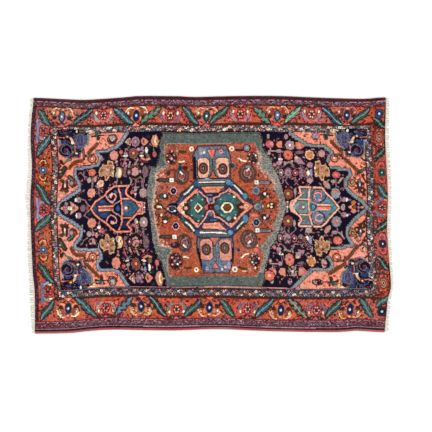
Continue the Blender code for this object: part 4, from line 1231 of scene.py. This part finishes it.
def weavePile():
    random = np.random.default_rng(pile["seed"])
    along, across = chartPlan["knotsAlong"], chartPlan["knotsAcross"]
    a, c = np.meshgrid(np.arange(-1, along + 2), np.arange(-1, across + 2))
    shareAlong, shareAcross = np.clip(a / along, 0, 1), np.clip(c / across, 0, 1)
    x, y = pilePoint(shareAlong, shareAcross)
    fromEnd = np.minimum(shareAlong, 1 - shareAlong) * 2 * chartPlan["halfLength"]
    fromSide = np.minimum(shareAcross, 1 - shareAcross) * 2 * chartPlan["halfWidth"]
    fromEdge = np.minimum(fromEnd, fromSide)
    z = pile["height"] * np.interp(fromEdge, pile["edgeRun"], pile["edgeHeight"])
    settled = np.clip(fromEdge / pile["settleRun"], 0, 1)
    z += (swellAt(x, y) + random.uniform(-1, 1, z.shape) * pile["tuftUneven"]) * settled
    tooth = np.abs((y / pile["endToothPitch"] + 0.3 * np.sin(y / 61)) % 1.0 - 0.5) * 4 - 1
    fade = np.clip(1 - fromEnd / pile["endToothRun"], 0, 1)
    x += np.where(shareAlong < 0.5, 1, -1) * pile["endTooth"] * (tooth + 1) * fade
    outside = (a < 0) | (a > along) | (c < 0) | (c > across)
    z[outside] = pile["skirtFoot"]
    knot = chart[np.clip(c[:-1, :-1], 0, across - 1), np.clip(a[:-1, :-1], 0, along - 1)]
    colours = dyeTable[knot]
    tones = unevenTones(random, knot.shape, pile["toneReach"])
    cuts = np.linspace(0, along, len(pile["panels"]) + 1).astype(int) + 1
    cuts[0], cuts[-1] = 0, along + 2
    panels = []
    for k, name in enumerate(pile["panels"]):
        keep = slice(cuts[k], cuts[k + 1] + 1)
        faces = slice(cuts[k], cuts[k + 1])
        panels.append(gridMesh(name, x[:, keep], y[:, keep], z[:, keep], colours[:, faces], tones[:, faces]))
    return panels


panels = weavePile()
print("pile laid:", [panel.name for panel in panels])

back = {
    "cellsAlong": 392,
    "cellsAcross": 252,
    "height": 0.35,
    "uneven": 0.12,  # the knots' loops show as small bumps under the rug
    "rimLift": 1.2,  # the edge turns up to meet the pile's side
}


def weaveBack():
    random = np.random.default_rng(pile["seed"] + 1)
    along, across = back["cellsAlong"], back["cellsAcross"]
    a, c = np.meshgrid(np.arange(along + 1), np.arange(across + 1))
    x, y = pilePoint(a / along, c / across)
    z = back["height"] + back["uneven"] * random.uniform(-1, 1, x.shape)
    edge = (a == 0) | (a == along) | (c == 0) | (c == across)
    z[edge] = back["rimLift"]
    rows = ((c[:-1, :-1] + 0.5) / across * chartPlan["knotsAcross"]).astype(int)
    cols = ((a[:-1, :-1] + 0.5) / along * chartPlan["knotsAlong"]).astype(int)
    tones = unevenTones(random, rows.shape, 1)
    return gridMesh("knotted_back", x, y, z, dyeTable[chart[rows, cols]], tones, faceDown=True)


knottedBack = weaveBack()
print("back laid")

# the side cords, overcast with wool: a ridge winds round each like the turns of the wrapping
sideCords = {
    "far": {"node": "side_cord_far", "outward": 1, "width": 9.0, "wrap": 3.4, "ridge": 0.10, "sides": 10},
    "near": {"node": "side_cord_near", "outward": -1, "width": 13.0, "wrap": 3.8, "ridge": 0.09, "sides": 12},
}
ringsPerWrap = 4
cordGap = 0.5  # between the pile's rim and the cord
wrapWander = 0.03  # hand wrapping is not quite even


def tubeFaces(count, sides):  # a tube of rings of points, its two ends capped
    corner = np.arange(count * sides).reshape(count, sides)
    turned = np.roll(corner, -1, axis=1)
    quads = np.stack([corner[:-1], turned[:-1], turned[1:], corner[1:]], -1).reshape(-1, 4)
    return quads.tolist() + [corner[0, ::-1].tolist(), corner[-1].tolist()]


def wrapSideCord(side):
    plan = sideCords[side]
    low, high = (np.array(corner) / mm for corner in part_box(plan["node"]))
    xs = np.arange(low[0] + 1, high[0] - 1, plan["wrap"] / ringsPerWrap)
    half = plan["width"] / 2
    middle = np.interp(xs, rim[side][:, 0], rim[side][:, 1]) + plan["outward"] * (cordGap + half)
    turn = np.arange(plan["sides"]) / plan["sides"] * math.tau
    along, turns = np.meshgrid(xs, turn, indexing="ij")
    phase = along / plan["wrap"] + turns / math.tau
    swellOut = 1 - plan["ridge"] * (0.5 + 0.5 * np.cos(phase * math.tau)) ** 2
    wander = 1 + wrapWander * np.sin(along / 23.0) * np.sin(along / 71.0 + 2)
    y = middle[:, None] + np.cos(turns) * half * swellOut * wander
    z = high[2] / 2 + np.sin(turns) * (high[2] / 2 - 0.15) * swellOut
    rings = np.stack([along, y, z], -1)
    return newPiece("side_wrapped_" + side, rings.reshape(-1, 3), tubeFaces(len(xs), plan["sides"]))


wrappedSides = [wrapSideCord("far"), wrapSideCord("near")]
print("side cords wrapped")

# the end fringes: a narrow cotton web and the cut warps beyond it
fringe = {
    "bunches": 48,
    "threadsPerLock": 7,
    "locksPerBunch": 2,
    "lockWidth": 6.5,
    "thread": 1.15,  # thickness
    "taper": 0.35,
    "threadSides": 5,
    "steps": 8,
    "rootStray": 1.2,  # off its even place
    "underWeb": 2.5,  # how far in under the web a thread starts
    "shortest": 6.0,
    "reachUneven": (0.82, 1.1),
    "lean": 6.0,  # of a whole lock, either way
    "spread": (3, 9),  # of a lock's threads at their tips
    "wave": 1.2,
    "lift": 1.6,  # above the floor at the root, and the more for every other thread
    "liftOther": 0.7,
    "pastNear": 11,  # how far the web runs on beside the near cord, and beside the far one
    "pastFar": 8,
    "webWidth": 6.0,
    "webHeight": 3.0,
    "webStep": 1.6,
    "webColumns": 13,
    "webRib": 2.3,  # distance between the weft ribs of the web
    "webWarp": 3.4,  # and between its warps
    "ribRise": 0.25,
    "warpRise": 0.18,
    "pastBox": 6,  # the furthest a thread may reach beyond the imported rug
    "seed": 11,
}
fringeLengths = {  # how far the cut warps reach beyond the pile, at places across the rug
    "left": path("-640,17 -540,28 -407,30 -340,25 -207,25 -41,18 93,27 259,24 426,16 559,18 626,20"),
    "right": path("-640,20 -540,20 -407,14 -274,17 -74,22 93,20 259,24 426,23 526,22 626,20"),
}


def webMesh(name, side, outward):  # the flat-woven strip, ribbed by its wefts, as a low rounded band
    route = rim[side]
    ys = np.arange(route[0, 1] - fringe["pastNear"], route[-1, 1] + fringe["pastFar"], fringe["webStep"])
    edge = np.interp(ys, route[:, 1], route[:, 0])
    across = np.linspace(0, 1, fringe["webColumns"])
    profile = np.sin(np.clip(across, 0.02, 0.98) * math.pi) ** 0.35
    s, t = np.meshgrid(ys, across, indexing="ij")
    rib = fringe["ribRise"] * np.sin(t * fringe["webWidth"] / fringe["webRib"] * math.tau)
    warp = fringe["warpRise"] * np.sin(s / fringe["webWarp"] * math.tau)
    top = 0.5 + (fringe["webHeight"] - 0.5) * profile[None, :] + rib + warp * (profile[None, :] > 0.6)
    x = edge[:, None] + outward * (-1.0 + t * (fringe["webWidth"] + 1.0))
    upper = np.stack([x, s, top], -1)
    lower = np.stack([x, s, np.full_like(top, 0.2)], -1)[:, ::-1]
    rings = np.concatenate([upper, lower], 1)
    if outward > 0:
        rings = rings[:, ::-1]
    return newPiece(name, rings.reshape(-1, 3), tubeFaces(*rings.shape[:2]))


def threadsMesh(name, side, outward):  # the cut warps in locks, each thread a thin tapering tube
    random = np.random.default_rng(fringe["seed"] + outward)
    route, reaches = rim[side], np.array(fringeLengths[side])
    low, high = route[0, 1] - fringe["pastNear"], route[-1, 1] + fringe["pastFar"]
    pitch = (high - low) / fringe["bunches"]
    steps, sides = fringe["steps"], fringe["threadSides"]
    stray, wide, under = fringe["rootStray"], fringe["webWidth"], fringe["underWeb"]
    share = np.linspace(0, 1, steps)
    turn = np.arange(sides) / sides * math.tau
    furthest = cadBounds[0][0] / mm - fringe["pastBox"], cadBounds[1][0] / mm + fringe["pastBox"]
    tube = np.array(tubeFaces(steps, sides)[:-2])
    caps = np.array(tubeFaces(steps, sides)[-2:])
    points, faces = [], []
    for lock in range(fringe["bunches"] * fringe["locksPerBunch"]):
        root = low + (lock + 0.5) * pitch / fringe["locksPerBunch"] + random.uniform(-stray, stray)
        lean = random.uniform(-1, 1) * fringe["lean"]
        for k in range(fringe["threadsPerLock"]):
            place = (k + 0.5) / fringe["threadsPerLock"] - 0.5
            y0 = root + place * fringe["lockWidth"]
            reach = np.interp(y0, reaches[:, 0], reaches[:, 1]) * random.uniform(*fringe["reachUneven"])
            start = np.interp(y0, route[:, 1], route[:, 0]) + outward * (wide - under)
            length = max(reach - wide + under, fringe["shortest"])
            spread = place * random.uniform(*fringe["spread"]) + lean
            wave = random.uniform(-1, 1) * fringe["wave"]
            x = np.clip(start + outward * length * share, *furthest)
            y = y0 + spread * share**1.6 + wave * np.sin(share * math.pi * 1.5)
            radius = fringe["thread"] / 2 * (1 - fringe["taper"] * share)
            lift = fringe["lift"] + fringe["liftOther"] * (k % 2)
            z = radius + 0.1 + lift * (1 - share) ** 1.5
            for part in (tube, caps):  # its points follow those of the threads before it
                faces += (part + steps * sides * len(points)).tolist()
            ring = [x[:, None] + 0 * turn, y[:, None] + np.outer(radius, np.cos(turn)),
                    z[:, None] + np.outer(radius, np.sin(turn))]
            points.append(np.stack(ring, -1).reshape(-1, 3))
    if outward < 0:
        faces = [face[::-1] for face in faces]
    return newPiece(name, np.concatenate(points), faces)


webs = [webMesh("end_web_left", "left", -1), webMesh("end_web_right", "right", 1)]
warps = [threadsMesh("cut_warps_left", "left", -1), threadsMesh("cut_warps_right", "right", 1)]
print("fringes made")


def newGroup(name, inputs, outputs):
    group = bpy.data.node_groups.new(name, "ShaderNodeTree")
    for label, kind, value in inputs:
        socket = group.interface.new_socket(label, in_out="INPUT", socket_type="NodeSocket" + kind)
        if value is not None:
            socket.default_value = value
    for label, kind in outputs:
        group.interface.new_socket(label, in_out="OUTPUT", socket_type="NodeSocket" + kind)
    return group, group.nodes.new("NodeGroupInput").outputs, group.nodes.new("NodeGroupOutput").inputs


def addNode(tree, kind, values=None, **settings):  # a value is a constant, or the socket that feeds it
    node = tree.nodes.new("ShaderNode" + kind)
    for key, value in settings.items():
        setattr(node, key, value)
    for label, value in (values or {}).items():
        if isinstance(value, bpy.types.NodeSocket):
            tree.links.new(value, node.inputs[label])
        else:
            node.inputs[label].default_value = value
    return node.outputs


def addMath(tree, operation, *values):
    return addNode(tree, "Math", dict(enumerate(values)), operation=operation)[0]


def makeDyedWoolGroup():  # what dyeing, spinning and wear do to a yarn's colour
    inputs = [("Color", "Color", (0.5, 0.5, 0.5, 1)), ("Tuft", "Float", 0.0), ("Vector", "Vector", None),
              ("Abrash", "Float", 0.3), ("Fade", "Float", 0.2), ("Speckle", "Float", 0.3)]
    group, given, out = newGroup("dyedWool", inputs, [("Color", "Color"), ("Roughness", "Float")])
    spot = given["Vector"]
    stretched = addNode(group, "Mapping", {"Vector": spot, "Scale": (9.0, 0.8, 1.0)})[0]
    streak = addNode(group, "TexNoise", {"Vector": stretched, "Scale": 1.6, "Detail": 3.0})[0]
    abrash = addMath(group, "MULTIPLY", addMath(group, "SUBTRACT", streak, 0.5), given["Abrash"])
    grain = addNode(group, "TexNoise", {"Vector": spot, "Scale": 420.0, "Detail": 2.0})[0]
    tuft = addMath(group, "MULTIPLY", given["Tuft"], 0.16)
    uneven = addMath(group, "ADD", addMath(group, "SUBTRACT", grain, 0.5), tuft)
    speckled = addMath(group, "MULTIPLY_ADD", uneven, given["Speckle"], abrash)
    bright = addMath(group, "ADD", speckled, 1.0)
    wear = addNode(group, "TexNoise", {"Vector": spot, "Scale": 3.1, "Detail": 4.0})[0]
    worn = addNode(group, "MapRange", {"Value": wear, "From Min": 0.42, "From Max": 0.75})["Result"]
    kept = addMath(group, "SUBTRACT", 1.0, addMath(group, "MULTIPLY", worn, given["Fade"]))
    tone = addNode(group, "HueSaturation", {"Color": given["Color"], "Value": bright, "Saturation": kept})[0]
    limits = {"From Min": 0.3, "From Max": 0.7, "To Min": 0.98, "To Max": 0.8}
    group.links.new(tone, out["Color"])
    group.links.new(addNode(group, "MapRange", {"Value": wear, **limits})["Result"], out["Roughness"])
    return group


def makeYarnReliefGroup():  # small bumps: cut pile, or yarns lying side by side
    inputs = [("Vector", "Vector", None), ("Scale", "Float", 300.0), ("Stretch", "Vector", (1, 1, 1)),
              ("Fuzz", "Float", 0.4)]
    group, given, out = newGroup("yarnRelief", inputs, [("Height", "Float")])
    spot = given["Vector"]
    stretched = addNode(group, "VectorMath", {0: spot, 1: given["Stretch"]}, operation="MULTIPLY")[0]
    cells = addNode(group, "TexVoronoi", {"Vector": stretched, "Scale": given["Scale"]}, feature="SMOOTH_F1")
    fuzz = addNode(group, "TexNoise", {"Vector": spot, "Scale": 900.0, "Detail": 2.0})[0]
    height = addMath(group, "SUBTRACT", addMath(group, "MULTIPLY", fuzz, given["Fuzz"]), cells["Distance"])
    group.links.new(height, out["Height"])
    return group


dyedWool = makeDyedWoolGroup()
yarnRelief = makeYarnReliefGroup()

finishes = {
    "woolPile": {"dye": None, "abrash": 0.4, "fade": 0.16, "speckle": 1.25, "scale": 310.0,
                 "stretch": (1, 1, 1), "fuzz": 0.5, "bump": 0.35, "sheen": 0.03},
    "knottedWool": {"dye": None, "abrash": 0.3, "fade": 0.3, "speckle": 0.7, "scale": 300.0,
                    "stretch": (1.0, 0.6, 1), "fuzz": 0.3, "bump": 0.5, "sheen": 0.05},
    # both side cords are the same red wool: the far cord's colour is painted darker as in shade, the near
    # cord's painted lighter as in light
    "farWoolPaintedShade": {"dye": (92, 26, 32), "abrash": 0.5, "fade": 0.3, "speckle": 0.6, "scale": 350.0,
                "stretch": (1.6, 0.5, 0.5), "fuzz": 0.5, "bump": 0.4, "sheen": 0.1},
    "nearWoolPaintedLight": {"dye": (168, 74, 72), "abrash": 0.5, "fade": 0.3, "speckle": 0.6, "scale": 350.0,
                 "stretch": (1.6, 0.5, 0.5), "fuzz": 0.5, "bump": 0.4, "sheen": 0.1},
    "warpCotton": {"dye": (232, 222, 202), "abrash": 0.35, "fade": 0.5, "speckle": 0.5, "scale": 700.0,
                   "stretch": (0.35, 1, 1), "fuzz": 0.5, "bump": 0.3, "sheen": 0.05},
}


def newMaterial(name, values):  # its node tree and the sockets of its shader
    material = bpy.data.materials.new(name)
    material.use_nodes = True
    tree = material.node_tree
    shader = next(node for node in tree.nodes if node.type == "BSDF_PRINCIPLED").inputs
    for label, value in values.items():
        shader[label].default_value = value
    return material, tree, shader


def yarnMaterial(name):
    plan = finishes[name]
    values = {"Sheen Weight": plan["sheen"], "Sheen Roughness": 0.5, "Specular IOR Level": 0.05}
    material, tree, shader = newMaterial(name, values)
    spot = addNode(tree, "TexCoord")["Object"]
    dyeing = {"Vector": spot, "Abrash": plan["abrash"], "Fade": plan["fade"], "Speckle": plan["speckle"]}
    if plan["dye"]:
        dyeing["Color"] = (*screenToLinear(plan["dye"]), 1)
    else:  # each knot brings its own dye and tone
        dyeing["Color"] = addNode(tree, "Attribute", attribute_name="dye")["Color"]
        dyeing["Tuft"] = addNode(tree, "Attribute", attribute_name="tuft")["Fac"]
    wool = addNode(tree, "Group", dyeing, node_tree=dyedWool)
    yarns = {"Vector": spot, "Scale": plan["scale"], "Stretch": plan["stretch"], "Fuzz": plan["fuzz"]}
    relief = addNode(tree, "Group", yarns, node_tree=yarnRelief)["Height"]
    bump = addNode(tree, "Bump", {"Height": relief, "Strength": plan["bump"], "Distance": 0.0012})
    tree.links.new(wool["Color"], shader["Base Color"])
    tree.links.new(wool["Roughness"], shader["Roughness"])
    tree.links.new(bump["Normal"], shader["Normal"])
    return material


materials = {name: yarnMaterial(name) for name in finishes}
print("materials made:", len(materials))

# what each piece is and rides on
for panel in panels:
    panel.data.materials.append(materials["woolPile"])
    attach(panel, "root")
    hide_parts("pile_carpet")
knottedBack.data.materials.append(materials["knottedWool"])
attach(knottedBack, "root")
# the far cord takes the wool painted in shade, the near cord the wool painted lit
for piece, finish, node in zip(wrappedSides, ("farWoolPaintedShade", "nearWoolPaintedLight"), ("side_cord_far", "side_cord_near")):
    piece.data.materials.append(materials[finish])
    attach(piece, "root")
    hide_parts(node)
for group in (webs, warps):
    for piece, node in zip(group, ("fringe_left", "fringe_right")):
        piece.data.materials.append(materials["warpCotton"])
        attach(piece, "root")
        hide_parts(node)

# camera, floor and light
studio = {
    "centre": (0.0372, -0.0072),  # what the camera looks straight down on
    "pictureSide": 432,  # pixels of the photograph, and the millimetres that one of them covers
    "pixelLength": 5.55,
    "lens": 100.0,
    "sensor": 36.0,
    "floorHalf": 12.0,
    "sky": 0.92,
    "sun": 0.75,
    "sunTilt": (38, 22),
    "sunAngle": 25.0,
}


def setStudio():
    world = bpy.data.worlds.new("studioWorld")
    bpy.context.scene.world = world
    world.use_nodes = True
    sky = world.node_tree.nodes["Background"].inputs
    sky["Color"].default_value = (1, 1, 1, 1)
    sky["Strength"].default_value = studio["sky"]
    half = studio["floorHalf"]
    corners = [(-half, -half, 0), (half, -half, 0), (half, half, 0), (-half, half, 0)]
    mesh = bpy.data.meshes.new("floor")
    mesh.from_pydata(corners, [], [(0, 1, 2, 3)])
    paint = {"Base Color": (0.97, 0.97, 0.97, 1), "Roughness": 0.9, "Specular IOR Level": 0.0}
    mesh.materials.append(newMaterial("paleFloor", paint)[0])
    floor = addToScene("floor", mesh)
    light = bpy.data.lights.new("softSun", "SUN")
    light.energy = studio["sun"]
    light.angle = math.radians(studio["sunAngle"])
    sun = addToScene("softSun", light)
    sun.rotation_euler = (math.radians(studio["sunTilt"][0]), math.radians(studio["sunTilt"][1]), 0)
    lens = bpy.data.cameras.new("camera")
    lens.lens = studio["lens"]
    lens.sensor_width = studio["sensor"]
    camera = addToScene("camera", lens)
    distance = studio["pictureSide"] * studio["pixelLength"] * mm * studio["lens"] / studio["sensor"]
    camera.location = (*studio["centre"], distance + pile["height"] * mm)
    bpy.context.scene.camera = camera
    bpy.context.scene.view_settings.view_transform = "Standard"


setStudio()
print("studio set")
